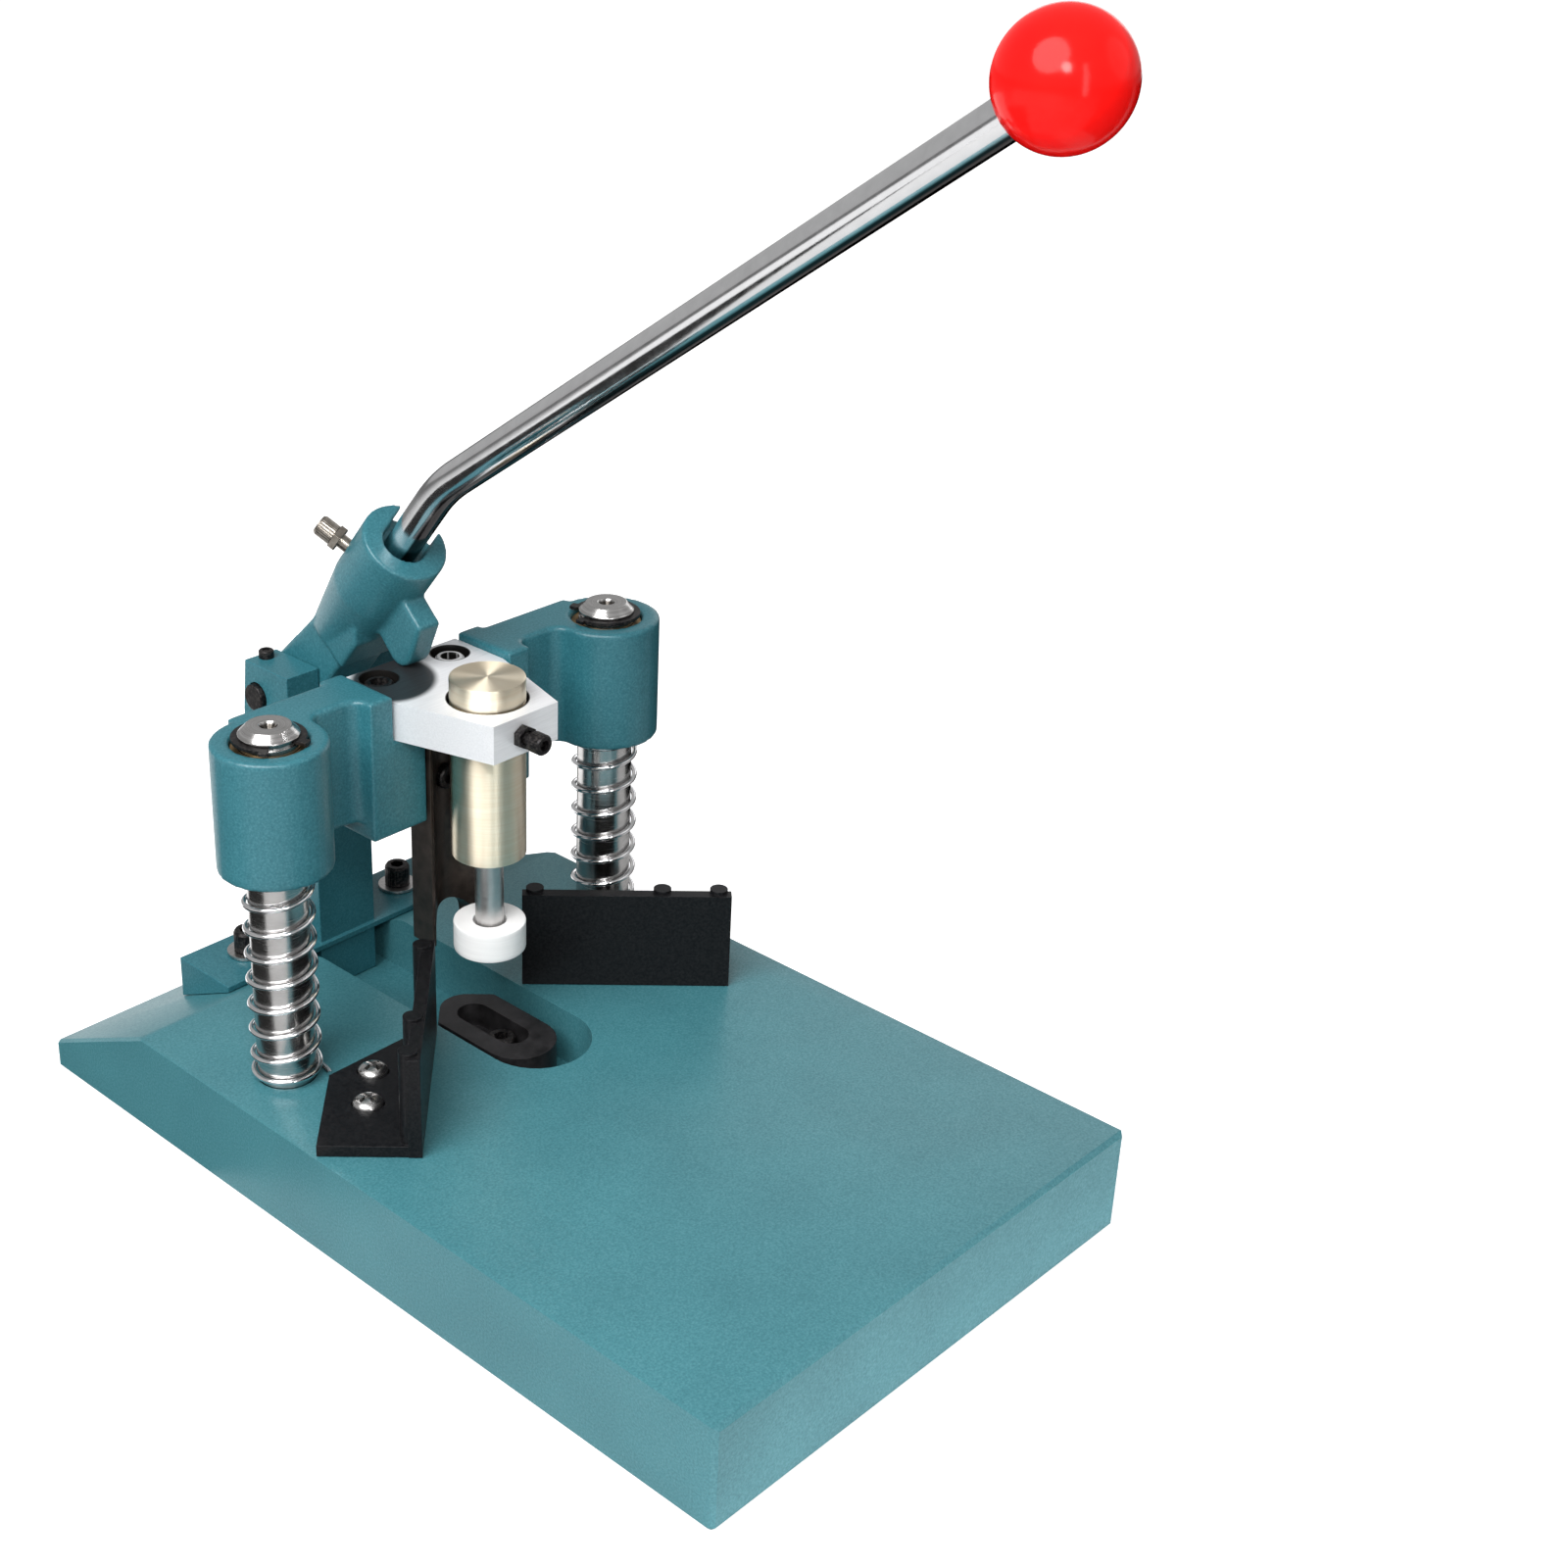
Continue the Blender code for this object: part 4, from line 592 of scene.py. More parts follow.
def made_by(tree, name, material, values, points=((0, 0, 0),)):
    """A plain mesh piece that a shape tree makes from these values."""
    piece = mesh_piece(name, points, [])
    maker = piece.modifiers.new("maker", "NODES")
    maker.node_group = tree
    sockets = {item.name: item.identifier for item in tree.interface.items_tree
               if item.in_out == "INPUT"}
    for label, value in values.items():
        maker[sockets[label]] = value
    maker[sockets["Finish"]] = material
    return settled(piece)


def bright_wire(name):
    """Drawn wire, bright all over, with the die's faint marks."""
    material, tree, shader = shader_of(name, (0.80, 0.80, 0.81, 1), 0.10, 1.0)
    tone = two_tone(tree, pattern(tree, 90.0, 2.0), (0.70, 0.70, 0.71, 1), (0.88, 0.88, 0.89, 1),
                    0.35, 0.65)
    connect(tree, shader, Base_Color=tone,
            Roughness=between(tree, pattern(tree, 400.0, 2.0), 0.06, 0.18))
    return material


wound_spring = spring_tree()
spring_wire = bright_wire("bright spring wire")


def coiled(node, name, wire, centre, shape, body, slot):
    """A wound spring in place of its solid, about an upright axis over a centre."""
    low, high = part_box(node)
    spring = made_by(wound_spring, name, spring_wire, {
        "Mean Radius": (high.y - low.y) / 2 - wire, "Wire Radius": wire, "Low": low.z + wire,
        "High": high.z - wire, **shape})
    spring.data.shade_smooth()
    spring.data.transform(upright_at(centre))
    return fit(spring, spring_wire, body, slot, node)


for side in ("left", "right"):
    centre = round_box(side + "_post")[2]
    shape = {"Turns": 9.5, "End Pitch": 0.0025, "Start Turn": 0.85, "Tail": 0.0035}
    spring = coiled(side + "_return_spring", side + "_lifting_spring", RETURN_WIRE, centre, shape,
                    "frame", "chrome_plate")
    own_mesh(spring)


# Lower die: a hardened block in the channel, slotted for the screw that sets it, with the
# rounded cutting corner at its rear.
UP = (0, 0, 1)
CAP_SIDES = 120
RIM_SIDES = 60
KNURLS = 30
KNURL_DEPTH = 0.012
RIM_START = 0.87
RIM_FOOT, RIM_TOP = 0.985, 0.86
BARREL_END = 0.88
CAP_ANGLE = 28
# How far a shank runs up into its head.
BITE = 0.0004


def die_steel_finish(name, dark, pale, roughness):
    """Tool steel in two dark tones, with a fine grain."""
    material, tree, shader = shader_of(name, dark, roughness, 0.55)
    mill = pattern(tree, 220.0, 4.0)
    connect(tree, shader, Base_Color=two_tone(tree, mill, dark, pale, 0.3, 0.75),
            Roughness=between(tree, mill, roughness * 0.85, roughness * 1.25))
    raise_bumps(tree, shader, pattern(tree, 1400.0, 3.0), 0.12)
    return material


die_finish = die_steel_finish("die steel", (0.018, 0.017, 0.018, 1), (0.050, 0.047, 0.050, 1), 0.46)
stand_in("lower_die", "lower_cutting_die", 0.00035, 2, die_finish, "frame", "die_steel")


def raised(tree, part, height):
    """A part moved straight up."""
    up = add(tree, "ShaderNodeCombineXYZ", Z=height)
    return add(tree, "GeometryNodeTransform", Geometry=part, Translation=up.outputs[0]).outputs[0]


def joined(tree, *parts):
    """Parts made into one solid."""
    whole = add(tree, "GeometryNodeMeshBoolean", {"operation": "UNION"})
    for part in parts:
        tree.links.new(part, whole.inputs["Mesh 2"])
    return whole.outputs[0]


def cut_by(tree, part, tool):
    """A part with the shape of a tool taken out."""
    left = add(tree, "GeometryNodeMeshBoolean", {"operation": "DIFFERENCE"}, Mesh_1=part,
               Mesh_2=tool)
    return left.outputs[0]


def shank_of(tree, given, sides):
    """A screw's plain shank, from a little way up in its head down to its end."""
    shank = add(tree, "GeometryNodeMeshCylinder", Vertices=sides, Radius=given["Shank Radius"],
                Depth=calc(tree, "ADD", given["Shank Length"], BITE))
    half = calc(tree, "MULTIPLY", given["Shank Length"], -0.5)
    return raised(tree, shank.outputs["Mesh"], calc(tree, "ADD", half, BITE / 2))


def set_on_points(tree, given, screw, **turn):
    """Ends a screw's tree: one screw on each of the piece's points."""
    spots = add(tree, "GeometryNodeMeshToPoints", Mesh=given["Geometry"])
    put = add(tree, "GeometryNodeInstanceOnPoints", Points=spots.outputs[0], Instance=screw, **turn)
    close_tree(tree, given, put.outputs[0])
    return tree


def screw_tree():
    """Socket cap screws, one on each point: a knurled round head with an eased rim, a
    hexagon socket and a plain shank. Each is built upright and turned as it is placed."""
    tree, given = shape_tree("socket cap screws", ["Head Radius", "Head Height", "Shank Radius",
                                                   "Shank Length", "Socket Share"])
    tree.interface.new_socket("Turn", in_out="INPUT", socket_type="NodeSocketVector")
    do = sums_in(tree)
    circle = add(tree, "GeometryNodeCurvePrimitiveCircle", Radius=given["Head Radius"],
                 Resolution=CAP_SIDES)
    place = add(tree, "GeometryNodeInputPosition").outputs[0]
    parts = add(tree, "ShaderNodeSeparateXYZ", Vector=place)
    angle = do("ARCTAN2", parts.outputs["Y"], parts.outputs["X"])
    ridge = do("MULTIPLY", do("COSINE", do("MULTIPLY", angle, KNURLS)), KNURL_DEPTH)
    scale = add(tree, "ShaderNodeVectorMath", {"operation": "SCALE"}, Vector=place,
                Scale=do("ADD", do("SUBTRACT", 1, KNURL_DEPTH), ridge))
    knurled = add(tree, "GeometryNodeSetPosition", Geometry=circle.outputs[0],
                  Position=scale.outputs[0])
    top = add(tree, "ShaderNodeCombineXYZ", Z=do("MULTIPLY", given["Head Height"], BARREL_END))
    rise = add(tree, "GeometryNodeCurvePrimitiveLine", End=top.outputs[0])
    barrel = add(tree, "GeometryNodeCurveToMesh", Curve=rise.outputs[0],
                 Profile_Curve=knurled.outputs[0], Fill_Caps=True)
    rim = add(tree, "GeometryNodeMeshCone", Vertices=RIM_SIDES,
              Radius_Bottom=do("MULTIPLY", given["Head Radius"], RIM_FOOT),
              Radius_Top=do("MULTIPLY", given["Head Radius"], RIM_TOP),
              Depth=do("MULTIPLY", given["Head Height"], 1 - RIM_START))
    rim_up = raised(tree, rim.outputs["Mesh"], do("MULTIPLY", given["Head Height"], RIM_START))
    whole = joined(tree, barrel.outputs[0], rim_up, shank_of(tree, given, 40))
    key = add(tree, "GeometryNodeMeshCylinder", Vertices=6, Depth=given["Head Height"],
              Radius=do("MULTIPLY", given["Head Radius"], given["Socket Share"]))
    socketed = cut_by(tree, whole, raised(tree, key.outputs["Mesh"], given["Head Height"]))
    return set_on_points(tree, given, socketed, Rotation=given["Turn"])


cap_screw = screw_tree()


def cap_screws(name, material, nodes, head_height, shank_radius, up, body, slot, socket=0.56):
    """Cap screws in place of solids: each head's top is at the solid's far end along up."""
    direction = Vector(up).normalized()
    seats = []
    for node in nodes:
        spots = [vert.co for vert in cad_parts[node].data.vertices]
        reach = [spot.dot(direction) for spot in spots]
        tops = [spot for spot, far in zip(spots, reach) if far > max(reach) - WELD]
        middle = sum(tops, Vector()) / len(tops)
        seats.append(middle - direction * head_height)
        length = max(reach) - min(reach) - head_height
        radius = max((spot - middle - direction * (spot - middle).dot(direction)).length
                     for spot in spots)
    screws = made_by(cap_screw, name, material, {
        "Head Radius": radius, "Head Height": head_height, "Shank Radius": shank_radius,
        "Shank Length": length, "Socket Share": socket,
        "Turn": tuple(direction.to_track_quat("Z", "Y").to_euler())}, seats)
    return fit(smoothed(screws, CAP_ANGLE), material, body, slot, *nodes)


cap_screws("die_set_screw", blackened, ["die_screw"], 0.006, 0.003, UP, "frame", "black_steel")


# Pedestal: a second iron casting bolted to the sloping deck. Its two cheeks carry the
# lever's pin, which a small socket screw locks from above.
WASHER_HOLE = 0.0033

stand_in("pedestal_casting", "cast_pedestal", 0.0009, 3, enamel, "frame", "teal_paint")
stand_in("pivot_pin", "lever_pin", 0.0006, 3, blackened, "frame", "black_steel")
cap_screws("pin_locking_screw", blackened, ["pin_lock_screw"], 0.003, 0.0024, UP, "frame",
           "black_steel")
cap_screws("pedestal_screws", blackened, ["left_pedestal_screw", "right_pedestal_screw"], 0.008,
           0.003, UP, "frame", "black_steel")
washer_steel = ground_steel("bright washer steel", (0, 0, 0), 0.25)
for side in ("left", "right"):
    low, high, centre, radius = round_box(side + "_pedestal_washer")
    profile = [(WASHER_HOLE, high.z), (radius, high.z), (radius, low.z), (WASHER_HOLE, low.z),
               (WASHER_HOLE, high.z)]
    washer = turned(side + "_foot_washer", profile, upright_at(centre), 72, 0.0002)
    fit(washer, washer_steel, "frame", "bright_steel", side + "_pedestal_washer")


# Head: an iron casting in the same enamel, with a bored boss at each end. The bronze
# bushings pressed into the bosses run on the posts.
BUSHING_WALL = 0.0022
BUSHING_DROP = 0.0016


def cast_skin(node, name, grain, passes):
    """A casting's skin over the solid: all corners, inner ones too, run soft as in a sand
    mould."""
    piece = copied(node, name)
    skin = piece.modifiers.new("skin", "REMESH")
    skin.mode = "VOXEL"
    skin.voxel_size = grain
    soften = piece.modifiers.new("soften", "SMOOTH")
    soften.factor = 0.5
    soften.iterations = passes
    settled(piece)
    piece.data.shade_smooth()
    return piece


head = cast_skin("head_casting", "cast_head", 0.00085, 6)
fit(head, enamel, "head", "teal_paint", "head_casting")

bronze, tree, shader = shader_of("bushing bronze", (0.42, 0.27, 0.12, 1), 0.35, 1.0)
connect(tree, shader, Base_Color=two_tone(tree, pattern(tree, 300.0), (0.34, 0.21, 0.09, 1),
                                          (0.50, 0.34, 0.16, 1)))
for side in ("left", "right"):
    low, high, centre, outer = round_box(side + "_bushing")
    inner, top = outer - BUSHING_WALL, high.z - BUSHING_DROP
    profile = [(inner, top), (outer, top), (outer, low.z), (inner, low.z), (inner, top)]
    bushing = turned(side + "_guide_bushing", profile, upright_at(centre), TURNED_SIDES, 0.0002)
    fit(bushing, bronze, "head", "bronze", side + "_bushing")


# Upper blade: tool steel, oiled brown, with a grooved front and an arch between its tips.
# Two cap screws hold it in the head.
FORWARD = (0, -1, 0)

blade_finish = die_steel_finish("oiled blade steel", (0.030, 0.022, 0.018, 1),
                                (0.066, 0.050, 0.042, 1), 0.36)
stand_in("upper_blade", "upper_cutting_blade", 0.00025, 2, blade_finish, "head", "blade_steel")
cap_screws("blade_screws", blackened, ["blade_screw_lower", "blade_screw_upper"], 0.005, 0.0025,
           FORWARD, "head", "black_steel")


# Clamp block: milled and brushed aluminium. Two cap screws in counterbores hold it on the
# head, and a long black screw in its nose locks the brass sleeve.
SCREW_WELL = 0.0069
BORE_PLAY = 0.0009
# Painted shade in the screw wells and in the gap round the brass cap.
WELL_SHADE = (0.012, 0.011, 0.010, 1)
# Painted shade fades out this far past a hole's edge, the nose's painted shadow this far under the
# top.
WELL_SHADE_EDGE = (0.0001, 0.0005)
TOP_EDGE = (0.0009, 0.0003)
# A painted shadow and reflection of the lever's nose, lying dark on the block's top.
NOSE_SHADE = (0.030, 0.033, 0.036, 1)
NOSE_SHADE_SHIFT = Vector((0.0030, -0.0042, 0))
NOSE_SHADE_SPREAD = 0.0150
NOSE_SHADE_STRETCH = 1.28
SOCKET_SHADE_EDGE = (0.0032, 0.0035)
WIDE_SOCKET = 0.67


def brushed_aluminium(name, top, worn, spread, holes):
    """Pale brushed metal. A long dark patch on its top is painted shadow and reflection of
    the lever's nose, and its holes and wells are painted dark as painted shade."""
    material, tree, shader = shader_of(name, (0.84, 0.85, 0.87, 1), 0.36, 0.35)
    strokes = pattern(tree, 70.0, 4.0, (1.5, 22, 22))
    clean = two_tone(tree, strokes, (0.79, 0.80, 0.82, 1), (0.88, 0.89, 0.91, 1))
    patch = from_axis(tree, worn, math.pi / 4, NOSE_SHADE_STRETCH)
    nose_shaded = faded(tree, patch, spread * 0.86, spread * 1.06, NOSE_SHADE, clean)
    spot = add(tree, "ShaderNodeTexCoord")
    height = add(tree, "ShaderNodeSeparateXYZ", Vector=spot.outputs["Object"])
    tone = faded(tree, height.outputs["Z"], top - TOP_EDGE[0], top - TOP_EDGE[1], clean, nose_shaded)
    for place, radius in holes:
        tone = faded(tree, from_axis(tree, place), radius + WELL_SHADE_EDGE[0], radius + WELL_SHADE_EDGE[1],
                     WELL_SHADE, tone)
    connect(tree, shader, Base_Color=tone, Roughness=between(tree, strokes, 0.28, 0.42))
    raise_bumps(tree, shader, strokes, 0.06)
    return material


left_hole, right_hole = [round_box(side + "_block_screw")[2] for side in ("left", "right")]
cap_low, cap_high, sleeve_axis, cap_radius = round_box("sleeve_cap")
holes = [(left_hole, SCREW_WELL), (right_hole, SCREW_WELL), (sleeve_axis, cap_radius + BORE_PLAY)]
aluminium = brushed_aluminium("brushed aluminium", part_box("clamp_block")[1].z,
                              left_hole + NOSE_SHADE_SHIFT, NOSE_SHADE_SPREAD, holes)
stand_in("clamp_block", "presser_clamp_block", 0.0004, 2, aluminium, "head", "brushed_aluminium")
# The left screw is black as painted shade, inside the nose's painted shadow.
cap_screws("shaded_block_screw", blackened, ["left_block_screw"], 0.005, 0.0025, UP, "head",
           "bright_steel", WIDE_SOCKET)
zinc, tree, shader = shader_of("bright zinc plate", (0.80, 0.80, 0.81, 1), 0.38, 0.5)
rim = two_tone(tree, pattern(tree, 500.0), (0.74, 0.74, 0.75, 1), (0.86, 0.86, 0.87, 1))
# The right screw's hex socket is painted dark as painted shade.
socket_shade_tone = faded(tree, from_axis(tree, right_hole), *SOCKET_SHADE_EDGE, WELL_SHADE, rim)
connect(tree, shader, Base_Color=socket_shade_tone)
cap_screws("clean_block_screw", zinc, ["right_block_screw"], 0.005, 0.0025, UP, "head",
           "bright_steel", WIDE_SOCKET)
cap_screws("sleeve_locking_screw", blackened, ["sleeve_lock_screw"], 0.005, 0.0022, FORWARD, "head",
           "black_steel")
stand_in("sleeve_lock_nut", "sleeve_locking_nut", 0.0003, 2, blackened, "head", "black_steel")


# Presser: a turned brass sleeve with its cap, and inside it a spring on a steel rod that
# carries the white plastic foot.
FINE_SIDES = 128
SLEEVE_HOLE = 0.0053
CHAMBER = 0.0094
NECK = 0.0155
ROD_RADIUS = 0.005
COLLAR_HEIGHT = 0.003
FOOT_WELL = 0.0053
FOOT_POCKET = 0.0058
POCKET_DEPTH = 0.0035
SOLE = 0.003
PRESSER_WIRE = 0.0007


def turned_brass(name, centre):
    """Bar brass with lathe rings: fine lines round the side, circles on the end."""
    material, tree, shader = shader_of(name, (0.92, 0.82, 0.64, 1), 0.42, 1.0)
    spot = add(tree, "ShaderNodeTexCoord")
    moved = add(tree, "ShaderNodeMapping", Vector=spot.outputs["Object"],
                Location=(-centre.x, -centre.y, 0))
    circles = add(tree, "ShaderNodeTexWave", {"wave_type": "RINGS", "rings_direction": "Z"},
                  Vector=moved.outputs[0], Scale=1100.0, Distortion=1.2, Detail=2.0)
    tone = two_tone(tree, pattern(tree, 40.0, 3.0, (1, 1, 30), centre), (0.89, 0.78, 0.59, 1),
                    (0.95, 0.87, 0.70, 1))
    around = add(tree, "ShaderNodeTangent", {"direction_type": "RADIAL", "axis": "Z"})
    connect(tree, shader, Base_Color=tone, Anisotropic=0.9, Anisotropic_Rotation=0.25,
            Tangent=around.outputs[0])
    raise_bumps(tree, shader, circles.outputs["Fac"], 0.05)
    return material


low, high, centre, radius = round_box("presser_sleeve")
on_axis = upright_at(centre)
brass = turned_brass("turned brass", centre)
shoulder = low.z + NECK
profile = [(CHAMBER, high.z), (radius, high.z), (radius, low.z), (SLEEVE_HOLE, low.z),
           (SLEEVE_HOLE, shoulder), (CHAMBER, shoulder), (CHAMBER, high.z)]
sleeve = turned("brass_sleeve", profile, on_axis, FINE_SIDES, 0.0004)
fit(sleeve, brass, "sleeve", "turned_brass", "presser_sleeve")
spigot, seam = CHAMBER - PLAY, high.z + PLAY
profile = [(0, cap_high.z), (radius, cap_high.z), (radius, seam), (spigot, seam),
           (spigot, cap_low.z), (0, cap_low.z)]
cap = turned("brass_cap", profile, on_axis, FINE_SIDES, 0.0005)
fit(cap, brass, "sleeve", "turned_brass", "sleeve_cap")

rod_steel = ground_steel("ground steel of the presser rod", centre, 0.34)
low, high, _, collar = round_box("presser_rod")
collar_foot = shoulder + PLAY
collar_top = collar_foot + COLLAR_HEIGHT
profile = [(0, high.z), (ROD_RADIUS, high.z), (ROD_RADIUS, collar_top), (collar, collar_top),
           (collar, collar_foot), (ROD_RADIUS, collar_foot), (ROD_RADIUS, low.z), (0, low.z)]
rod = turned("sprung_rod", profile, on_axis, TURNED_SIDES, 0.0003)
fit(rod, rod_steel, "presser", "bright_steel", "presser_rod")

white, tree, shader = shader_of("white plastic", (0.93, 0.92, 0.91, 1), 0.40)
lathe = pattern(tree, 50.0, 3.0, (1, 1, 30), centre)
connect(tree, shader, Subsurface_Weight=0.08, Subsurface_Radius=(0.002, 0.002, 0.002),
        Base_Color=two_tone(tree, lathe, (0.90, 0.89, 0.88, 1), (0.96, 0.95, 0.94, 1)))
raise_bumps(tree, shader, lathe, 0.08)
low, high, _, radius = round_box("presser_foot")
well_foot, pocket_foot = low.z + SOLE, high.z - POCKET_DEPTH
profile = [(0, well_foot), (FOOT_WELL, well_foot), (FOOT_WELL, pocket_foot),
           (FOOT_POCKET, pocket_foot), (FOOT_POCKET, high.z), (radius, high.z), (radius, low.z),
           (0, low.z)]
foot = turned("pressing_foot", profile, on_axis, FINE_SIDES, 0.0007)
fit(foot, white, "presser", "white_plastic", "presser_foot")

shape = {"Turns": 7.0, "End Pitch": 0.0022, "Start Turn": 0.0, "Tail": 0.0}
coil = coiled("presser_spring", "presser_coil", PRESSER_WIRE, centre, shape, "sleeve",
              "bright_steel")
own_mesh(coil)


# Lever: an iron socket in the same enamel, with a nose that presses the head, and a
# chromed bar with one bend that ends in the red ball.
SOCKET_LEAN = math.radians(51)
ARM_LEAN = math.radians(35)
BEND_RADIUS = 0.065
BEND_STEPS = 24
ARM_LENGTH = 0.271
BAR_START = 0.0423
BAR_IN_BALL = 0.0137
BEND_REACH = 0.117
MOUTH_LIP = 0.010
MOUTH_DEPTH = 0.014
BALL_STEPS = 60
# The bar's underside, turned this far to the right, is painted dark as a painted reflection.
DARK_SIDE = math.radians(25)
DARK_EDGE = (0.34, 0.50)
BAR_DARK_REFLECTION = (0.05, 0.045, 0.045, 1)
CLAMP_TURN = math.radians(25)

lever = cast_skin("lever_casting", "cast_lever", 0.0007, 7)
fit(lever, enamel, "lever", "teal_paint", "lever_casting")

ball_centre, ball_radius = round_box("ball_knob")[2:]
bar_radius = round_box("lever_rod")[3]
up_socket = Vector((0, -math.cos(SOCKET_LEAN), math.sin(SOCKET_LEAN)))
up_arm = Vector((0, -math.cos(ARM_LEAN), math.sin(ARM_LEAN)))
bend = ball_centre - up_arm * ARM_LENGTH
pivot = bend - up_socket * BEND_REACH
turn = SOCKET_LEAN - ARM_LEAN
bend_start = bend - up_socket * (BEND_RADIUS * math.tan(turn / 2))
bend_centre = bend_start + Vector((0, -up_socket.z, up_socket.y)) * BEND_RADIUS
route = [pivot + up_socket * BAR_START]
for step in range(BEND_STEPS + 1):
    swung = Matrix.Rotation(turn * step / BEND_STEPS, 3, "X") @ (bend_start - bend_centre)
    route.append(bend_centre + swung)
route.append(ball_centre - up_arm * (ball_radius - BAR_IN_BALL))


def round_bar(name, route, radius, sides=64):
    """A bar swept along a route that lies in one plane through X."""
    points = []
    for index, spot in enumerate(route):
        before = route[max(index - 1, 0)]
        after = route[min(index + 1, len(route) - 1)]
        ahead = (after - before).normalized()
        across = Vector((1, 0, 0))
        above = ahead.cross(across).normalized()
        for step in range(sides):
            angle = 2 * math.pi * step / sides
            points.append(spot + (across * math.cos(angle) + above * math.sin(angle)) * radius)
    faces = []
    for ring in range(len(route) - 1):
        for step in range(sides):
            after = (step + 1) % sides
            faces.append((ring * sides + step, ring * sides + after, (ring + 1) * sides + after,
                          (ring + 1) * sides + step))
    faces.append(tuple(reversed(range(sides))))
    faces.append(tuple(range((len(route) - 1) * sides, len(route) * sides)))
    piece = mesh_piece(name, points, faces)
    bm = bmesh.new()
    bm.from_mesh(piece.data)
    bmesh.ops.recalc_face_normals(bm, faces=bm.faces)
    bm.to_mesh(piece.data)
    bm.free()
    return smoothed(piece, TURNED_ANGLE)


chrome, tree, shader = shader_of("bright chrome", (0.82, 0.82, 0.83, 1), 0.12, 1.0)
haze = pattern(tree, 160.0, 3.0)
bright = two_tone(tree, haze, (0.79, 0.79, 0.80, 1), (0.88, 0.88, 0.89, 1))
spot = add(tree, "ShaderNodeTexCoord")
from_bend = add(tree, "ShaderNodeMapping", Vector=spot.outputs["Object"], Location=-bend)
reaches = []
for along in (up_arm, up_socket):
    under = Vector((0, -along.z, along.y))
    lowest = under * math.cos(DARK_SIDE) + Vector((1, 0, 0)) * math.sin(DARK_SIDE)
    reach = add(tree, "ShaderNodeVectorMath", {"operation": "DOT_PRODUCT"},
                Vector=from_bend.outputs[0])
    reach.inputs[1].default_value = lowest / bar_radius
    reaches.append(reach.outputs["Value"])
# The underside is painted dark, a painted reflection of dark surroundings.
reflection_darkened = faded(tree, calc(tree, "MINIMUM", *reaches), *DARK_EDGE, bright, BAR_DARK_REFLECTION)
connect(tree, shader, Base_Color=reflection_darkened, Roughness=between(tree, haze, 0.10, 0.17))
fit(round_bar("bent_lever_bar", route, bar_radius), chrome, "lever", "chrome_plate", "lever_rod")

red, tree, shader = shader_of("red ball plastic", (0.86, 0.007, 0.006, 1), 0.15)
swirl = two_tone(tree, pattern(tree, 35.0, 3.0), (0.82, 0.005, 0.005, 1), (0.90, 0.009, 0.007, 1))
connect(tree, shader, Specular_IOR_Level=0.14, Base_Color=swirl)
raise_bumps(tree, shader, pattern(tree, 120.0, 1.0), 0.03)
mouth = bar_radius + PLAY
start = math.pi - math.asin(mouth / ball_radius)
angles = [start * step / BALL_STEPS for step in range(BALL_STEPS + 1)]
profile = [(ball_radius * math.sin(angle), ball_radius * math.cos(angle)) for angle in angles]
profile += [(mouth, MOUTH_LIP - ball_radius), (mouth, MOUTH_DEPTH - ball_radius),
            (0, MOUTH_DEPTH - ball_radius)]
upright = Matrix.Translation(ball_centre) @ up_arm.to_track_quat("Z", "Y").to_matrix().to_4x4()
fit(turned("red_ball", profile, upright), red, "lever", "red_plastic", "ball_knob")

nickel, tree, shader = shader_of("dull nickel", (0.30, 0.27, 0.23, 1), 0.34, 1.0)
connect(tree, shader, Base_Color=two_tone(tree, pattern(tree, 500.0), (0.22, 0.195, 0.165, 1),
                                          (0.38, 0.35, 0.31, 1)))
stand_in("clamp_lock_nut", "bar_lock_nut", 0.0003, 2, nickel, "lever", "bright_steel")
behind = Vector((0, up_socket.z, -up_socket.y))
outward = behind * math.cos(CLAMP_TURN) - Vector((1, 0, 0)) * math.sin(CLAMP_TURN)
cap_screws("bar_clamp_bolt", nickel, ["rod_clamp_bolt"], 0.0065, 0.0025, outward, "lever",
           "bright_steel")


# Paper fences: moulded black plastic, ribbed behind. Each slides a little on two
# cross-head screws in the table.
PAN_HEAD = 0.0028
PAN_SPREAD = 1.12
PAN_SHANK = 0.002
PAN_ANGLE = 30
CROSS = {"Cross Width": 0.0014, "Cross Length": 0.0066, "Cross Depth": 0.0016}

moulded, tree, shader = shader_of("black moulded plastic", (0.007, 0.007, 0.008, 1), 0.40)
speckle = pattern(tree, 1100.0, 2.0)
tone = two_tone(tree, speckle, (0.004, 0.004, 0.005, 1), (0.012, 0.012, 0.013, 1), 0.35, 0.70)
connect(tree, shader, Specular_IOR_Level=0.18, Base_Color=tone,
        Roughness=between(tree, speckle, 0.32, 0.46))
raise_bumps(tree, shader, speckle, 0.20)


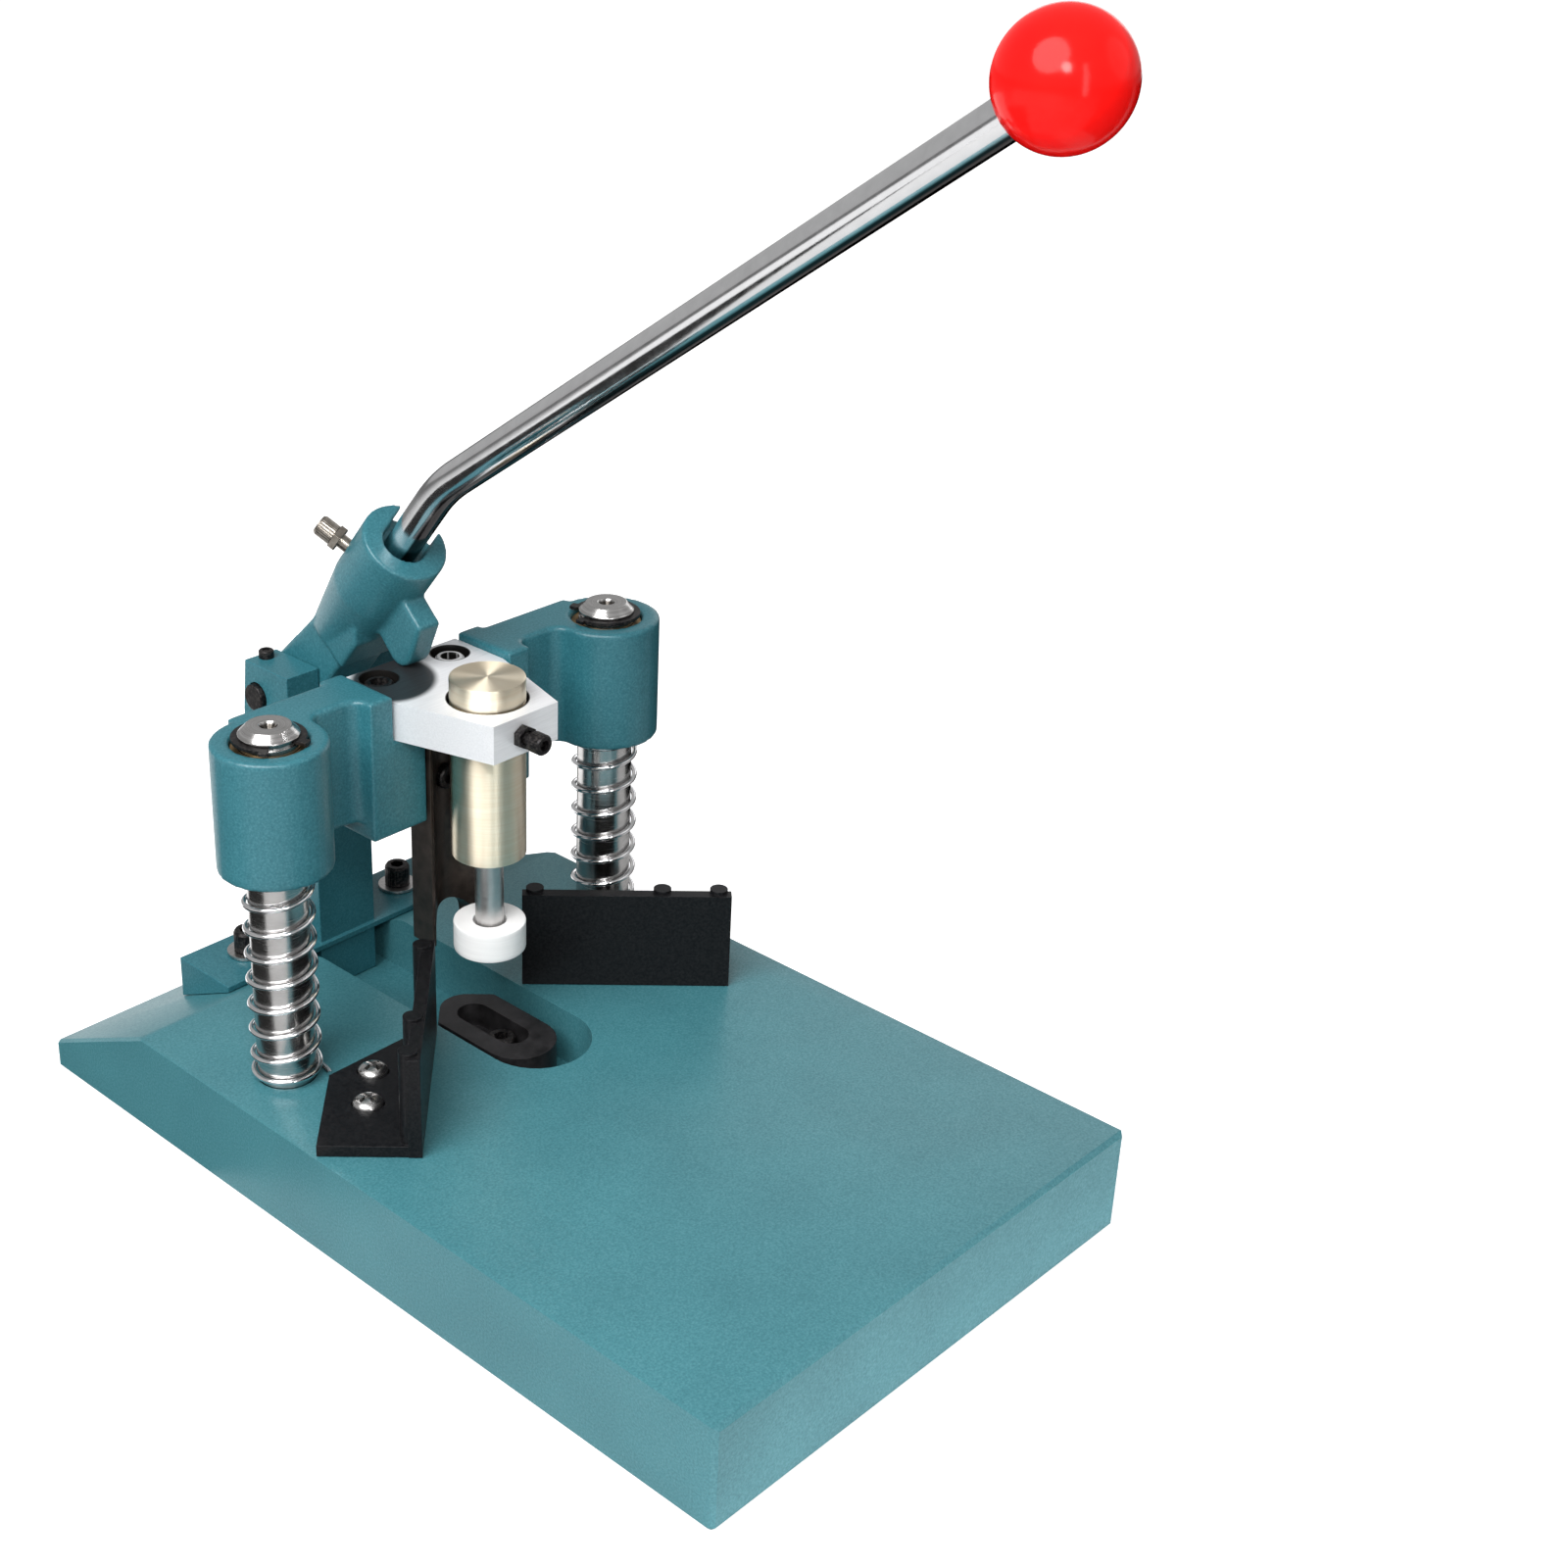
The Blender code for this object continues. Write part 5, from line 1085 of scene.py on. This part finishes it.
def pan_screw_tree():
    """Pan-head screws, one on each point, with a cross recess."""
    tree, given = shape_tree("pan head screws", ["Head Radius", "Head Height", "Shank Radius",
                                                 "Shank Length", *CROSS])
    do = sums_in(tree)
    ball = add(tree, "GeometryNodeMeshUVSphere", Radius=1.0, Segments=48, Rings=24)
    size = add(tree, "ShaderNodeCombineXYZ", X=given["Head Radius"], Y=given["Head Radius"],
               Z=given["Head Height"])
    dome = add(tree, "GeometryNodeTransform", Geometry=ball.outputs["Mesh"], Scale=size.outputs[0])
    under = add(tree, "GeometryNodeMeshCylinder", Vertices=12,
                Radius=do("MULTIPLY", given["Head Radius"], 2),
                Depth=do("MULTIPLY", given["Head Height"], 2))
    away = raised(tree, under.outputs["Mesh"], do("MULTIPLY", given["Head Height"], -1))
    whole = joined(tree, cut_by(tree, dome.outputs[0], away), shank_of(tree, given, 32))
    bars = []
    for one, other in (("Cross Length", "Cross Width"), ("Cross Width", "Cross Length")):
        bar_size = add(tree, "ShaderNodeCombineXYZ", X=given[one], Y=given[other],
                       Z=do("MULTIPLY", given["Cross Depth"], 2))
        bar = add(tree, "GeometryNodeMeshCube", Size=bar_size.outputs[0])
        bars.append(raised(tree, bar.outputs["Mesh"], given["Head Height"]))
    return set_on_points(tree, given, cut_by(tree, whole, joined(tree, *bars)))


pan_screw = pan_screw_tree()
for side in ("left", "right"):
    stand_in(side + "_fence", side + "_paper_fence", 0.0005, 3, moulded, side + "_fence",
             "black_plastic")
    nodes = [side + "_fence_screw_rear", side + "_fence_screw_front"]
    seats = []
    for node in nodes:
        low, high, centre, radius = round_box(node)
        seats.append((centre.x, centre.y, high.z - PAN_HEAD))
    screws = made_by(pan_screw, side + "_fence_screws", washer_steel, {
        "Head Radius": radius * PAN_SPREAD, "Head Height": PAN_HEAD, "Shank Radius": PAN_SHANK,
        "Shank Length": high.z - low.z - PAN_HEAD, **CROSS}, seats)
    fit(smoothed(screws, PAN_ANGLE), washer_steel, "frame", "bright_steel", *nodes)
